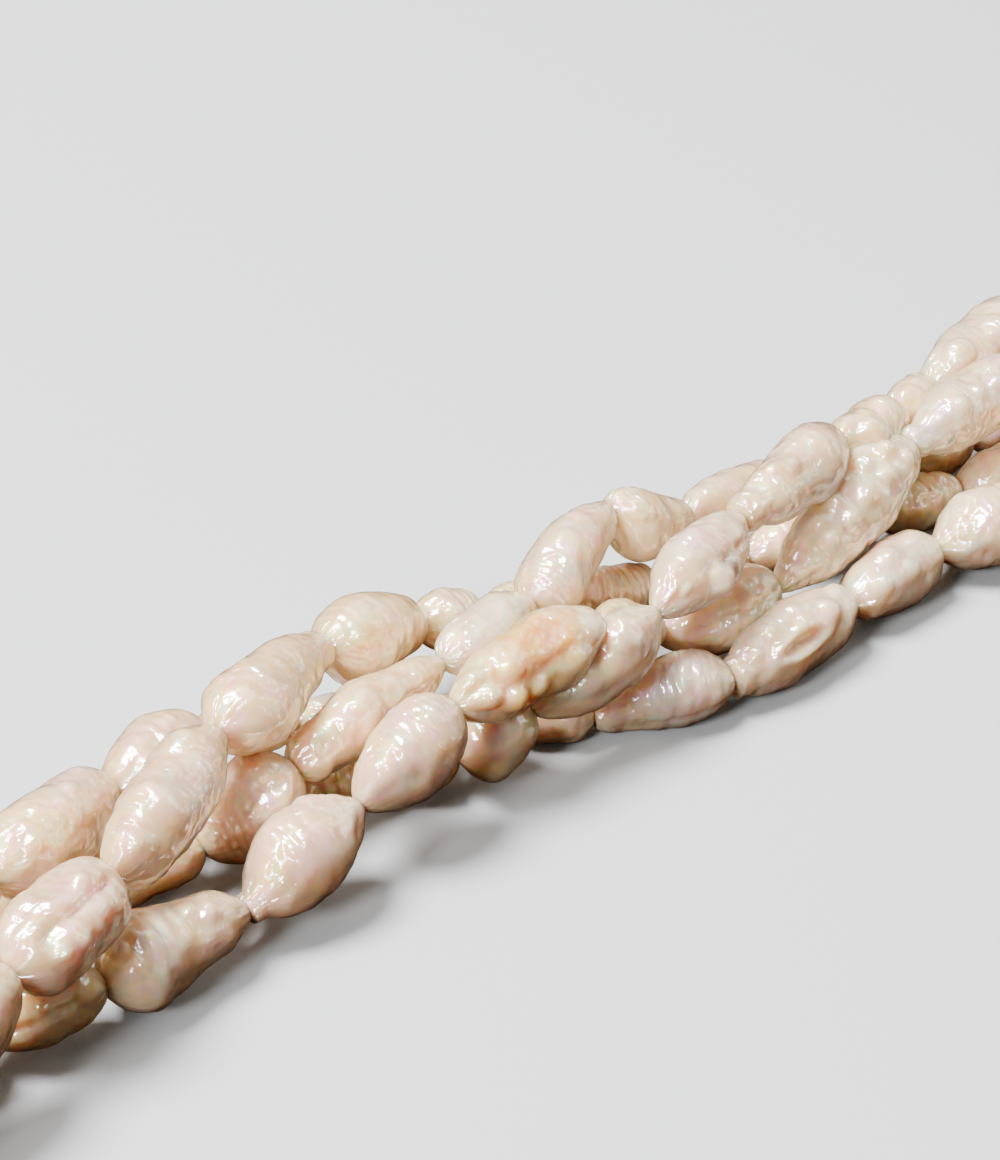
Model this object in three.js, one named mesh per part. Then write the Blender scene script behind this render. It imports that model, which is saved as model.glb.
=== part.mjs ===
// A necklace of five strands of baroque freshwater pearls, loosely twisted into one rope and closed
// by a plain barrel clasp. It lies on a flat surface in a long oval, with the clasp at the back (+Y).
// Millimetres, +Z up, resting on z = 0, with the origin under the middle of the whole necklace.
import * as THREE from "three";

// The oval that the middle of the rope follows. A squareness of 1 is an ellipse, and less is boxier.
const OVAL_LENGTH = 152;
const OVAL_WIDTH = 98;
const OVAL_SQUARENESS = 0.62;

// The twist: the strands run round the rope's middle in a ring that has sagged wide and low.
const TWIST_PITCH = 78;
const RING_ACROSS = 4.2;
const RING_UP = 2.4;
const ROPE_LIFT = 4.6;
const TWIST_TAKE_UP = 1.045; // the length of strand in each length of rope
const CLOSING_REACH = 30; // over this distance the ring closes in to the clasp
const WAY_STEP = 0.001; // the share of the oval over which its direction is taken

// A pearl away from the front run, and how far its length and girth stray from these.
const PEARL_LENGTH = 8.8;
const PEARL_GIRTH = 4.1;
const LENGTH_SPREAD = 1.6;
const GIRTH_SPREAD = 0.6;
const TAPER_SPREAD = 0.08;
const END_PEARLS = 2; // the pearls beside the clasp are slimmer, by this share
const END_PEARL_SHARE = 0.76;
const SEED_BEFORE = 31; // the pearls before and after the front run stray by these seeds
const SEED_AFTER = 77;
const SEEDS_PER_STRAND = 100;

// How a pearl is drawn: a neck at each end and two bellies between, each a ring of flat sides.
const SIDES = 10;
const NECK_RADIUS = 0.85;
const BELLIES = [0.24, 0.75]; // where the bellies lie along a pearl
const FLATTENING = 0.14; // the most that a belly is squashed
const OFF_AXIS = 0.12; // the most that a belly sits off the thread
const SEED_STEP = 0.37; // between the scattered values of one pearl
const THREAD_RADIUS = 0.4;

// The barrel clasp, a lathed body with a cup at each end that takes the threads.
const CLASP_SIDES = 16;
const CLASP_HALF = 13;
const CLASP_RADIUS = 5;
const WAIST_RADIUS = 3.1;
const CUP_DEPTH = 3.2;
const CUP_WALL = 0.6;
const CUP_RIM = 0.9; // the radius of a cup's rim and of its belly, as shares of the barrel's
const CUP_BELLY = 0.86;
const BARREL_SHARE = 0.46; // of the clasp's length
const CUP_FOOT = 1; // from the waist to the floor of the cup
const ROUNDING = 0.7;
const THREAD_RING = 2.6; // how far from the clasp's axis the threads enter the cups
const SEAT_GAP = 0.3;

// Settling: the strands are pushed apart until no two pearls share space, and none is under z = 0.
const ROUNDS = 420;
const DRAWN_ROUNDS = 300; // in these, each joint is also drawn to where the twist has it
const HOME_PULL = 0.03;
const FRONT_PULL = 0.3;
const SMOOTHING = 0.02;
const SPACE_BETWEEN = 0.15; // round each pearl, so neighbours stay twice this apart
const NECK_ROOM = 1.3; // the half width kept free round a neck
const NECK_SPOTS = [0.04, 0.96]; // where along a pearl that room is kept
const NEIGHBOUR_REACH = 14; // pearls whose middles are further apart than this can't meet
const NEIGHBOUR_ROUNDS = 30; // how often the list of neighbours is made again

// The front run, where the twist is uneven. Each joint between two pearls is given by its distance
// along the rope from the middle of the front, its place across the rope (positive is outwards) and
// its height. girth is of the pearl that follows, and taper how much fatter its first half is.
// enters and leaves are the angles round the rope, in degrees, at the two ends of the run.
const FRONT_RUN = [
  {
    name: "strand_1", enters: 209, leaves: 86,
    joints: [
      { along: -35.0, across: -4.0, height: 2.2, girth: 3.4, taper: 0.0 },
      { along: -29.0, across: -4.7, height: 2.2, girth: 4.6, taper: 0.12 },
      { along: -20.8, across: -4.0, height: 2.2, girth: 4.4, taper: -0.04 },
      { along: -12.8, across: -2.4, height: 3.3, girth: 4.4, taper: 0.04 },
      { along: -5.9, across: -3.15, height: 6.1, girth: 4.4, taper: -0.04 },
      { along: 3.5, across: -3.8, height: 7.4, girth: 3.0, taper: 0.05 },
      { along: 9.5, across: -2.5, height: 3.2, girth: 3.8, taper: -0.05 },
      { along: 16.9, across: -3.5, height: 3.7, girth: 4.2, taper: -0.03 },
      { along: 28.3, across: 0.0, height: 7.6, girth: 3.8, taper: 0.0 },
      { along: 38.5, across: 2.4, height: 7.4, girth: 3.8, taper: 0.0 },
    ],
  },
  {
    name: "strand_2", enters: 137, leaves: 230,
    joints: [
      { along: -34.8, across: -4.6, height: 5.9, girth: 5.0, taper: 0.03 },
      { along: -26.9, across: -3.85, height: 5.7, girth: 4.3, taper: 0.04 },
      { along: -17.4, across: -0.25, height: 6.5, girth: 4.6, taper: 0.12 },
      { along: -8.7, across: 4.25, height: 6.4, girth: 4.4, taper: 0.02 },
      { along: -1.7, across: 4.6, height: 4.9, girth: 3.2, taper: 0.0 },
      { along: 2.5, across: 4.0, height: 4.4, girth: 2.8, taper: 0.0 },
      { along: 7.5, across: 3.5, height: 3.2, girth: 3.2, taper: 0.0 },
      { along: 13.5, across: 3.0, height: 2.2, girth: 3.2, taper: 0.0 },
      { along: 19.5, across: 2.4, height: 2.2, girth: 3.2, taper: 0.0 },
      { along: 27.5, across: 0.6, height: 2.2, girth: 3.4, taper: 0.0 },
      { along: 33.0, across: -1.0, height: 2.2, girth: 3.8, taper: 0.03 },
      { along: 40.5, across: -1.0, height: 2.6, girth: 3.8, taper: 0.0 },
    ],
  },
  {
    name: "strand_3", enters: 281, leaves: 302,
    joints: [
      { along: -35.5, across: 4.0, height: 2.2, girth: 3.4, taper: 0.0 },
      { along: -27.5, across: 4.0, height: 2.2, girth: 3.4, taper: 0.0 },
      { along: -19.0, across: 0.9, height: 2.2, girth: 4.4, taper: -0.03 },
      { along: -13.2, across: 1.1, height: 3.3, girth: 3.6, taper: 0.03 },
      { along: -3.4, across: -0.6, height: 6.2, girth: 3.4, taper: 0.0 },
      { along: 3.0, across: 0.2, height: 6.2, girth: 3.9, taper: 0.03 },
      { along: 10.7, across: 4.0, height: 7.4, girth: 3.9, taper: 0.06 },
      { along: 16.2, across: 3.5, height: 4.3, girth: 3.2, taper: 0.0 },
      { along: 24.5, across: 5.5, height: 3.0, girth: 3.2, taper: 0.0 },
      { along: 32.0, across: 3.0, height: 2.4, girth: 3.6, taper: 0.0 },
      { along: 36.5, across: 3.5, height: 2.4, girth: 3.8, taper: 0.0 },
      { along: 44.0, across: 3.5, height: 2.8, girth: 3.6, taper: 0.0 },
    ],
  },
  {
    name: "strand_4", enters: 353, leaves: 14,
    joints: [
      { along: -36.0, across: 7.0, height: 2.2, girth: 3.4, taper: 0.0 },
      { along: -28.5, across: 6.5, height: 2.2, girth: 3.4, taper: 0.0 },
      { along: -21.0, across: 4.0, height: 2.2, girth: 3.4, taper: 0.0 },
      { along: -14.0, across: 1.2, height: 2.0, girth: 3.0, taper: 0.0 },
      { along: -9.5, across: -0.8, height: 1.8, girth: 3.0, taper: 0.0 },
      { along: -5.0, across: -2.8, height: 2.2, girth: 4.0, taper: 0.03 },
      { along: -0.5, across: -3.0, height: 3.2, girth: 3.4, taper: -0.02 },
      { along: 7.0, across: -3.8, height: 6.4, girth: 4.2, taper: 0.08 },
      { along: 15.5, across: -1.0, height: 8.0, girth: 4.2, taper: -0.07 },
      { along: 25.0, across: 1.6, height: 7.6, girth: 3.4, taper: 0.0 },
      { along: 31.5, across: 2.6, height: 6.6, girth: 3.0, taper: 0.0 },
      { along: 35.5, across: 4.5, height: 6.8, girth: 4.2, taper: 0.0 },
      { along: 44.5, across: 8.8, height: 7.9, girth: 3.8, taper: 0.0 },
    ],
  },
  {
    name: "strand_5", enters: 65, leaves: 158,
    joints: [
      { along: -30.5, across: 1.6, height: 6.0, girth: 4.4, taper: 0.0 },
      { along: -21.6, across: 3.9, height: 5.0, girth: 3.9, taper: 0.02 },
      { along: -15.0, across: 5.5, height: 4.6, girth: 3.2, taper: 0.0 },
      { along: -9.5, across: 5.0, height: 3.0, girth: 3.0, taper: 0.0 },
      { along: -4.5, across: 1.0, height: 2.0, girth: 3.0, taper: 0.0 },
      { along: -1.5, across: -3.0, height: 1.8, girth: 3.0, taper: 0.0 },
      { along: 3.0, across: -4.0, height: 2.0, girth: 3.8, taper: -0.04 },
      { along: 10.2, across: -5.8, height: 2.2, girth: 4.3, taper: 0.02 },
      { along: 19.8, across: -4.2, height: 2.4, girth: 3.6, taper: 0.0 },
      { along: 27.0, across: -4.5, height: 2.4, girth: 4.1, taper: 0.0 },
      { along: 34.5, across: -5.6, height: 2.6, girth: 3.8, taper: 0.0 },
    ],
  },
];

const COLOURS = { pearl: 0xf0e2d2, metal: 0xd8b46a };

// An even scatter from 0 to 1 that is the same each time for the same seed.
function scatter(seed) {
  const value = Math.sin(seed * 12.9898) * 43758.5453;
  return value - Math.floor(value);
}

// The middle line of the rope, clockwise seen from above, starting at the middle of the front.
class OvalCurve extends THREE.Curve {
  getPoint(share) {
    const angle = 2 * Math.PI * share;
    const bend = (v) => Math.sign(v) * Math.abs(v) ** OVAL_SQUARENESS;
    return new THREE.Vector3(
      (-OVAL_LENGTH / 2) * bend(Math.sin(angle)),
      (-OVAL_WIDTH / 2) * bend(Math.cos(angle)),
      0,
    );
  }
}

const oval = new OvalCurve();
oval.arcLengthDivisions = 4000;
const ovalRound = oval.getLength();
const claspAxisHeight = CLASP_RADIUS * Math.cos(Math.PI / CLASP_SIDES);

// A place on the rope: along it from the middle of the front, across it and up.
function ropePoint(along, across, height) {
  const share = along / ovalRound - Math.floor(along / ovalRound);
  const point = oval.getPointAt(share);
  const ahead = oval.getPointAt((share + WAY_STEP) % 1);
  const way = ahead.sub(oval.getPointAt((share + 1 - WAY_STEP) % 1)).normalize();
  return new THREE.Vector3(point.x - way.y * across, point.y + way.x * across, height);
}

// Where a strand lies in the even twist, at an angle round the rope. The ring closes in towards the
// clasp, where it is round and level with the clasp's axis.
function twistPoint(along, angle) {
  const toClasp = ovalRound / 2 - CLASP_HALF - Math.abs(along);
  const open = THREE.MathUtils.smoothstep(toClasp, -CUP_DEPTH, CLOSING_REACH);
  const blend = (atClasp, away) => THREE.MathUtils.lerp(atClasp, away, open);
  return ropePoint(
    along,
    blend(THREAD_RING, RING_ACROSS) * Math.cos(angle),
    blend(claspAxisHeight, ROPE_LIFT) + blend(THREAD_RING, RING_UP) * Math.sin(angle),
  );
}

// The joints from one end of the front run to the clasp, in that order. way is 1 towards +along.
function hiddenJoints(start, angleAtStart, way, seed) {
  const mouth = ovalRound / 2 - CLASP_HALF - SEAT_GAP;
  const distance = mouth - Math.abs(start.along);
  const count = Math.round((distance * TWIST_TAKE_UP) / PEARL_LENGTH);
  const stray = (n) => 2 * scatter(seed + n) - 1;
  const steps = Array.from({ length: count }, (_, i) => PEARL_LENGTH + LENGTH_SPREAD * stray(i));
  const total = steps.reduce((sum, step) => sum + step, 0);
  let along = start.along;
  return steps.map((step, i) => {
    along += (way * step * distance) / total;
    const turned = (2 * Math.PI * (along - start.along)) / TWIST_PITCH;
    const size = i < count - END_PEARLS ? 1 : END_PEARL_SHARE;
    return {
      place: twistPoint(along, THREE.MathUtils.degToRad(angleAtStart) - turned),
      girth: size * (PEARL_GIRTH + GIRTH_SPREAD * stray(i + 0.5)),
      taper: TAPER_SPREAD * stray(i + 0.25),
      pull: HOME_PULL,
    };
  });
}

// All the joints and pearls of one strand, from the clasp, round the front and back to the clasp.
function strandOf({ name, enters, leaves, joints: table }, index) {
  const shown = table.map((row) => {
    const place = ropePoint(row.along, row.across, row.height);
    return { place, girth: row.girth, taper: row.taper, pull: FRONT_PULL };
  });
  const seed = SEEDS_PER_STRAND * index;
  const before = hiddenJoints(table[0], enters, -1, seed + SEED_BEFORE);
  const after = hiddenJoints(table.at(-1), leaves, 1, seed + SEED_AFTER);
  const joints = [...before.reverse(), ...shown, ...after];
  joints.forEach((joint) => {
    joint.home = joint.place.clone();
    joint.held = joint === joints[0] || joint === joints.at(-1);
  });
  const pearls = joints.slice(1).map((to, i) => {
    const from = joints[i];
    const length = from.place.distanceTo(to.place);
    return { from, to, length, girth: from.girth, taper: from.taper, seed: seed + i };
  });
  return { name, joints, pearls };
}

const spotOn = (pearl, share) => pearl.from.place.clone().lerp(pearl.to.place, share);

// Moves a pearl by moving the joint at each end in proportion to how near the push is.
function push(pearl, share, move) {
  if (!pearl.from.held) pearl.from.place.addScaledVector(move, 1 - share);
  if (!pearl.to.held) pearl.to.place.addScaledVector(move, share);
}

// The half girth of a pearl's fatter belly.
const fattest = (pearl) => (pearl.girth / 2) * (1 + Math.abs(pearl.taper));

// Pairs of pearls on different strands that are close enough to meet.
function nearPairs(strands) {
  const pairs = [];
  strands.forEach((strand, s) => {
    const others = strands.slice(s + 1).flatMap((other) => other.pearls);
    for (const pearl of strand.pearls) {
      const middle = spotOn(pearl, 0.5);
      for (const other of others) {
        if (middle.distanceTo(spotOn(other, 0.5)) < NEIGHBOUR_REACH) pairs.push([pearl, other]);
      }
    }
  });
  return pairs;
}

// The spots along a pearl's core where it is kept clear of others, and the room each needs.
const spotsOf = (pearl) => [
  ...NECK_SPOTS.map((share) => ({ share, room: NECK_ROOM })),
  ...[BELLIES[0], 0.5, BELLIES[1]].map((share) => ({ share, room: fattest(pearl) + SPACE_BETWEEN })),
];

// Pushes two pearls apart where spots on their cores are nearer than the room they need.
function separate(pearl, other) {
  for (const a of spotsOf(pearl)) {
    for (const b of spotsOf(other)) {
      const apart = spotOn(pearl, a.share).sub(spotOn(other, b.share));
      const short = a.room + b.room - apart.length();
      if (short > 0) {
        const move = apart.normalize().multiplyScalar(short / 2);
        push(pearl, a.share, move);
        push(other, b.share, move.negate());
      }
    }
  }
}

// Draws the joints to their places in the twist, and evens out sharp bends.
function drawHome({ joints }) {
  joints.slice(1, -1).forEach((joint, i) => {
    joint.place.lerp(joint.home, joint.pull);
    const between = joints[i].place.clone().lerp(joints[i + 2].place, 0.5);
    joint.place.lerp(between, SMOOTHING);
  });
}

function keepLength(pearl) {
  const span = pearl.to.place.clone().sub(pearl.from.place);
  const excess = span.length() - pearl.length;
  const move = span.normalize().multiplyScalar(excess / 2);
  push(pearl, 0, move);
  push(pearl, 1, move.negate());
}

function keepAboveSurface(pearl) {
  for (const share of BELLIES) {
    const sunk = fattest(pearl) - spotOn(pearl, share).z;
    if (sunk > 0) push(pearl, share, new THREE.Vector3(0, 0, sunk));
  }
}

// Lets the strands settle on the surface and on each other.
function settle(strands) {
  const pearls = strands.flatMap((strand) => strand.pearls);
  let pairs = [];
  for (let round = 0; round < ROUNDS; round += 1) {
    if (round % NEIGHBOUR_ROUNDS === 0) pairs = nearPairs(strands);
    if (round < DRAWN_ROUNDS) strands.forEach(drawHome);
    pearls.forEach(keepLength);
    pairs.forEach(([pearl, other]) => separate(pearl, other));
    pearls.forEach(keepAboveSurface);
  }
}

// A ring of points round a strand, square to its direction, of two half widths.
function ringPoints(centre, direction, halfAcross, halfUp) {
  const side = new THREE.Vector3(0, 0, 1).cross(direction).normalize();
  const over = direction.clone().cross(side);
  return Array.from({ length: SIDES }, (_, i) => {
    const angle = (2 * Math.PI * (i + 0.5)) / SIDES;
    return centre
      .clone()
      .addScaledVector(side, halfAcross * Math.cos(angle))
      .addScaledVector(over, halfUp * Math.sin(angle));
  });
}

// The closed skin over a row of rings, with a point at each end.
function skinOver(rings, firstPoint, lastPoint) {
  const points = [firstPoint, ...rings.flat(), lastPoint];
  const last = points.length - 1;
  const faces = [];
  for (let i = 0; i < SIDES; i += 1) {
    const next = (i + 1) % SIDES;
    faces.push(0, 1 + next, 1 + i);
    for (let r = 0; r + 1 < rings.length; r += 1) {
      const [near, far] = [1 + r * SIDES, 1 + (r + 1) * SIDES];
      faces.push(near + i, near + next, far + next, near + i, far + next, far + i);
    }
    faces.push(last - SIDES + i, last - SIDES + next, last);
  }
  return new THREE.BufferGeometry().setFromPoints(points).setIndex(faces);
}

// The two rings of a pearl's bellies, each a little flattened, and a little off the thread.
function bellyRings(pearl) {
  const way = pearl.to.place.clone().sub(pearl.from.place).normalize();
  return BELLIES.map((share, b) => {
    const stray = (n) => 2 * scatter(pearl.seed + SEED_STEP * (n + 3 * b)) - 1;
    const centre = spotOn(pearl, share);
    centre.z += OFF_AXIS * stray(1);
    const half = (pearl.girth / 2) * (1 + (b ? -1 : 1) * pearl.taper) - OFF_AXIS;
    return ringPoints(centre, way, half * (1 - FLATTENING * Math.abs(stray(2))), half);
  });
}

// One strand as a single skin: thread, neck, then two bellies and a neck for each pearl, and thread.
function strandGeometry({ joints, pearls }) {
  const claspWay = new THREE.Vector3(1, 0, 0); // both ends of a strand run this way
  const ways = pearls.map((pearl) => pearl.to.place.clone().sub(pearl.from.place).normalize());
  const waysWithClasp = [claspWay, ...ways, claspWay];
  const necks = joints.map(({ place }, i) => {
    const way = waysWithClasp[i].clone().add(waysWithClasp[i + 1]).normalize();
    return ringPoints(place, way, NECK_RADIUS, NECK_RADIUS);
  });
  const threadReach = CUP_DEPTH - SEAT_GAP;
  const threadSpot = (joint, reach) => joint.place.clone().addScaledVector(claspWay, reach);
  const thread = (spot) => ringPoints(spot, claspWay, THREAD_RADIUS, THREAD_RADIUS);
  const [first, last] = [joints[0], joints.at(-1)];
  const rings = [thread(threadSpot(first, -threadReach)), necks[0]];
  pearls.forEach((pearl, i) => rings.push(...bellyRings(pearl), necks[i + 1]));
  rings.push(thread(threadSpot(last, threadReach)));
  const tipReach = threadReach + THREAD_RADIUS / 2;
  return skinOver(rings, threadSpot(first, -tipReach), threadSpot(last, tipReach));
}

// Half of the clasp's outline, from its middle to the rim of a cup and in to the cup's floor.
function claspHalf(sign) {
  const barrelHalf = CLASP_HALF * BARREL_SHARE;
  const [rim, belly] = [CLASP_RADIUS * CUP_RIM, CLASP_RADIUS * CUP_BELLY];
  const cupMiddle = CLASP_HALF - CUP_DEPTH / 2;
  return [
    [CLASP_RADIUS, barrelHalf - ROUNDING],
    [CLASP_RADIUS - ROUNDING / 2, barrelHalf],
    [WAIST_RADIUS, barrelHalf + ROUNDING],
    [WAIST_RADIUS, CLASP_HALF - CUP_DEPTH - CUP_FOOT],
    [belly, cupMiddle],
    [rim, CLASP_HALF],
    [rim - CUP_WALL, CLASP_HALF],
    [belly - CUP_WALL, cupMiddle],
    [WAIST_RADIUS - CUP_WALL / 2, CLASP_HALF - CUP_DEPTH],
    [0, CLASP_HALF - CUP_DEPTH],
  ].map(([radius, along]) => new THREE.Vector2(radius, sign * along));
}

function claspMesh() {
  const outline = [...claspHalf(-1).reverse(), ...claspHalf(1)];
  const geometry = new THREE.LatheGeometry(outline, CLASP_SIDES, Math.PI / CLASP_SIDES);
  const material = new THREE.MeshStandardMaterial({ color: COLOURS.metal, roughness: 0.25, metalness: 1 });
  const mesh = new THREE.Mesh(geometry, material);
  mesh.name = "clasp";
  mesh.rotation.z = -Math.PI / 2; // the lathe's axis turns from +Y to lie along +X
  mesh.position.copy(ropePoint(ovalRound / 2, 0, claspAxisHeight));
  return mesh;
}

const strands = FRONT_RUN.map(strandOf);
settle(strands);

const necklace = new THREE.Group();
for (const strand of strands) {
  const material = new THREE.MeshStandardMaterial({ color: COLOURS.pearl, roughness: 0.3, metalness: 0 });
  const mesh = new THREE.Mesh(strandGeometry(strand), material);
  mesh.name = strand.name;
  necklace.add(mesh);
}
necklace.add(claspMesh());

const bounds = new THREE.Box3().setFromObject(necklace, true);
const middle = bounds.getCenter(new THREE.Vector3());
necklace.position.set(-middle.x, -middle.y, -bounds.min.z);

export default necklace;
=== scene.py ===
import bmesh
import bpy
import numpy as np
from mathutils import Matrix, Vector


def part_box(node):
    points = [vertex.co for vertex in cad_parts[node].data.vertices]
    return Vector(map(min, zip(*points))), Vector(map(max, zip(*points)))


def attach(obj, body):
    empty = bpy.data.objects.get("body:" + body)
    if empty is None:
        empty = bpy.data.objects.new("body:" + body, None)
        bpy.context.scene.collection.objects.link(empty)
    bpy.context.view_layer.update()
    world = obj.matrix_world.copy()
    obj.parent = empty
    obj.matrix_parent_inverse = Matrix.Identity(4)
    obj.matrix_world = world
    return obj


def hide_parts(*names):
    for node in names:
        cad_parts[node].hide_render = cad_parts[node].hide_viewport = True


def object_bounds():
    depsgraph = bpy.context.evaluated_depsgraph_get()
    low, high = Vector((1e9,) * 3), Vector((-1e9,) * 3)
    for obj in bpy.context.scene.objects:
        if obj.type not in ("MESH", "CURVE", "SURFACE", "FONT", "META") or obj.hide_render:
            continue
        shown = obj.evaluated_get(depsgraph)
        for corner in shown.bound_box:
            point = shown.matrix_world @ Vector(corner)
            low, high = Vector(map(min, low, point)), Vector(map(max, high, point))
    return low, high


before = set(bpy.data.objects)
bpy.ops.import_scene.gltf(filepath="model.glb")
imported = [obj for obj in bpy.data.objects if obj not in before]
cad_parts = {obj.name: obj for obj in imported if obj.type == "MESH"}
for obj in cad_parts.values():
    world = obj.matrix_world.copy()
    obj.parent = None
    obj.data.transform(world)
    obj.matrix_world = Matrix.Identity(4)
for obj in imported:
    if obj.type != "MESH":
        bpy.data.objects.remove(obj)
cadBox = [list(corner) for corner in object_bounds()]
print("frame loaded")

# Five strands of baroque pearls, a barrel clasp, and a plain studio. Lengths are in metres, apart
# from those on a pearl's own surface, which are in millimetres where a note says so.
mm = 0.001

studio = {
    "azimuth": 140, "elevation": 35,  # where the camera looks from, in degrees
    "distance": 170 * mm, "lens": 100.2, "sensor": 36, "clip": (0.01, 10),
    "rise": 8 * mm,  # the camera aims this far above the front of the rope
    "ropeHalf": 7.05 * mm,  # from the box's front to the middle of the rope
    "floorSize": 6.0, "floorColour": (0.50, 0.50, 0.505),
    "shadeSheetDrop": 0.5 * mm, "shadeSheetColour": (0.03, 0.022, 0.02),
    "roughness": 0.85, "gloss": 0.2,  # of the floor and the dark shade sheet
    "skyColour": (1.0, 0.98, 0.955), "skyStrength": 0.15,
}


# The three directions of a camera: back is (sin a cos e, -cos a cos e, sin e), right is level and
# square to it, and up is square to both.
def cameraAxes(azimuth, elevation):
    a, e = np.radians(azimuth), np.radians(elevation)
    back = np.array([np.sin(a) * np.cos(e), -np.cos(a) * np.cos(e), np.sin(e)])
    right = np.array([np.cos(a), np.sin(a), 0.0])
    return right, np.cross(back, right), back


viewRight, viewUp, viewBack = cameraAxes(studio["azimuth"], studio["elevation"])
lowCorner, highCorner = np.array(cadBox[0]), np.array(cadBox[1])
middleX = 0.5 * (lowCorner[0] + highCorner[0])
frontMiddle = np.array([middleX, lowCorner[1] + studio["ropeHalf"], 0.0])


# Each vector divided by its own length.
def unit(vectors):
    return vectors / np.linalg.norm(vectors, axis=-1, keepdims=True)


sidesOfRing = 10  # corners in a ring of a packed strand
bellyPlaces = (0.24, 0.75)  # where a packed pearl's two bellies lie along it
mergeDistance = 0.02 * mm


# The corners of a packed strand as rings from the tip at +X to the other: a merged copy is walked
# ring by ring, from the one corner that meets ten others.
def ringsOf(nodeName):
    work = bmesh.new()
    work.from_mesh(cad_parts[nodeName].data)
    bmesh.ops.remove_doubles(work, verts=work.verts, dist=mergeDistance)
    work.verts.index_update()
    corners = np.array([v.co for v in work.verts])
    edges = np.array([[v.index for v in e.verts] for e in work.edges])
    work.free()
    tips = np.where(np.bincount(edges.ravel()) == sidesOfRing)[0]
    level = np.full(len(corners), -1)
    level[tips[np.argmax(corners[tips, 0])]] = 0
    step = 0
    while (level < 0).any():
        touching = edges[(level[edges] == step).any(axis=1)]
        level[touching[level[touching] < 0]] = step + 1
        step += 1
    order = np.argsort(level, kind="stable")[1:-1]
    return corners[order].reshape(-1, sidesOfRing, 3)


# How far some joints of the front run are drawn from where the solids have them, in millimetres to
# the camera's right, up, and towards it. Joints are numbered from the clasp at +X.
nudges = {
    (1, 23): (-0.85, 0.65, 0), (1, 24): (-0.7, -0.15, 0), (1, 25): (0.95, -1.3, 0.3),
    (1, 26): (0.5, -1.2, 0), (1, 27): (0.9, -0.6, 0.2), (1, 28): (-0.5, 0.9, 0),
    (2, 21): (0.2, -0.5, 0),
    (3, 22): (0, 0.35, 0), (3, 23): (-0.15, 0.8, 0), (3, 25): (0.4, 0.05, 0),
    (3, 27): (0, -0.5, 0),
    (4, 25): (-0.25, -0.15, 0), (4, 26): (-0.6, 0.85, 0), (4, 27): (-0.8, 1.0, 0),
    (4, 28): (-0.25, -0.25, 0), (4, 29): (1.1, -0.9, 0), (4, 30): (0.35, -1.0, 0),
    (4, 31): (-0.2, -1.1, 0),
    (5, 21): (0, -0.6, 0), (5, 22): (0, -0.6, 0), (5, 26): (-0.1, -0.5, 0),
}


# What the rings say of each pearl: its two ends, nudged, how far each belly's middle lies off the
# line between them, and its spread, where the half width in a direction w is the root of twice
# w.spread.w.
def pearlsOf(number, rings):
    necks = rings[1:-1:3].mean(axis=1)
    moves = np.array([nudges.get((number, i), (0, 0, 0)) for i in range(len(necks))]) * mm
    moved = necks + moves @ np.stack([viewRight, viewUp, viewBack])
    pearls = []
    for i, bellies in enumerate(zip(rings[2:-2:3], rings[3:-1:3])):
        middles = [b.mean(axis=0) for b in bellies]
        span = necks[i + 1] - necks[i]
        offs = [m - necks[i] - place * span for m, place in zip(middles, bellyPlaces)]
        spreads = [(b - m).T @ (b - m) / sidesOfRing for b, m in zip(bellies, middles)]
        pearls.append({
            "start": moved[i], "end": moved[i + 1], "offs": offs, "spreads": spreads,
        })
    return moved, pearls


# The surface of every pearl. Sizes here are in millimetres, and widths along it are shares of it.
pearlSkins = {
    "shown": (84, 56), "rest": (26, 36),  # rows and columns, in the front run and elsewhere
    "crowding": 0.11,  # how much closer the rows lie at the two ends
    "overlap": 0.012,  # how far a pearl runs past its ends
    "fullness": 1.06,  # of the solid's half width
    "blunter": 0.6,  # added to the bluntness of every end
    "outlinePlaces": (0.05, 0.23, 0.41, 0.59, 0.77, 0.95), "outlineBlend": 0.115,
    "bulbBlend": 0.12,  # how softly a bulb joins the rest
    "offBlend": 0.25,  # how far along a belly's offset reaches
    "warpLength": 3.1, "foldWarp": 0.9, "creaseWarp": 9,  # how ridges and creases wander
    "waveFloor": 0.66, "domeFloor": 0.55,  # what keeps ridges and domes level on the whole
    "creaseShare": 0.6, "creaseLip": 0.25, "lipWidth": 3.2, "creaseFade": 0.12,
    "ridgePower": 0.8, "domePower": 0.8, "bumpPower": 0.9, "dentPower": 1.6,  # lower is blunter
    "cellCrowd": 2.2,  # cells to a square of the cell's size
    "pitWidth": 0.8, "pitPower": 1.5, "pitReach": 3,  # of a crater, in its own half widths
    "rimPlace": 1.15, "rimWidth": 0.35,
    "relief": 1.7,  # how strongly the looks' features stand out
    "fadeIn": 1.4,  # how soon they rise from the ends
    "lumps": 0.10, "lumpLength": 3.6, "fineLumps": 0.03, "fineLength": 1.3,
    "crinkles": 0.012, "crinkleLength": 1.1, "crinkleStretch": (2.4, 0.7),
    "floorGap": 0.01,  # the lowest that a pearl's surface may lie
}

plainLook = {
    "top": (1, 1, 1, 1, 1, 1), "low": (1, 1, 1, 1, 1, 1),  # outline, as shares of the solid's
    "start": 2.3, "end": 2.3,  # bluntness of the two ends, where 2 is round
    "bend": (0, 0), "flat": (0, 0),  # bend up and forward in mm; flatten (degrees, share)
    "bulbs": (), "waves": (), "cells": (), "bumps": (), "creases": (), "craters": (),
    "pale": 0.22, "tone": (0.3, 0.2, 0.1),  # how white, and how pink, lilac and yellow
    "patches": (), "shine": 0.5,  # stains, tints, painted highlights and painted shade, and how far its colours play
}


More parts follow.
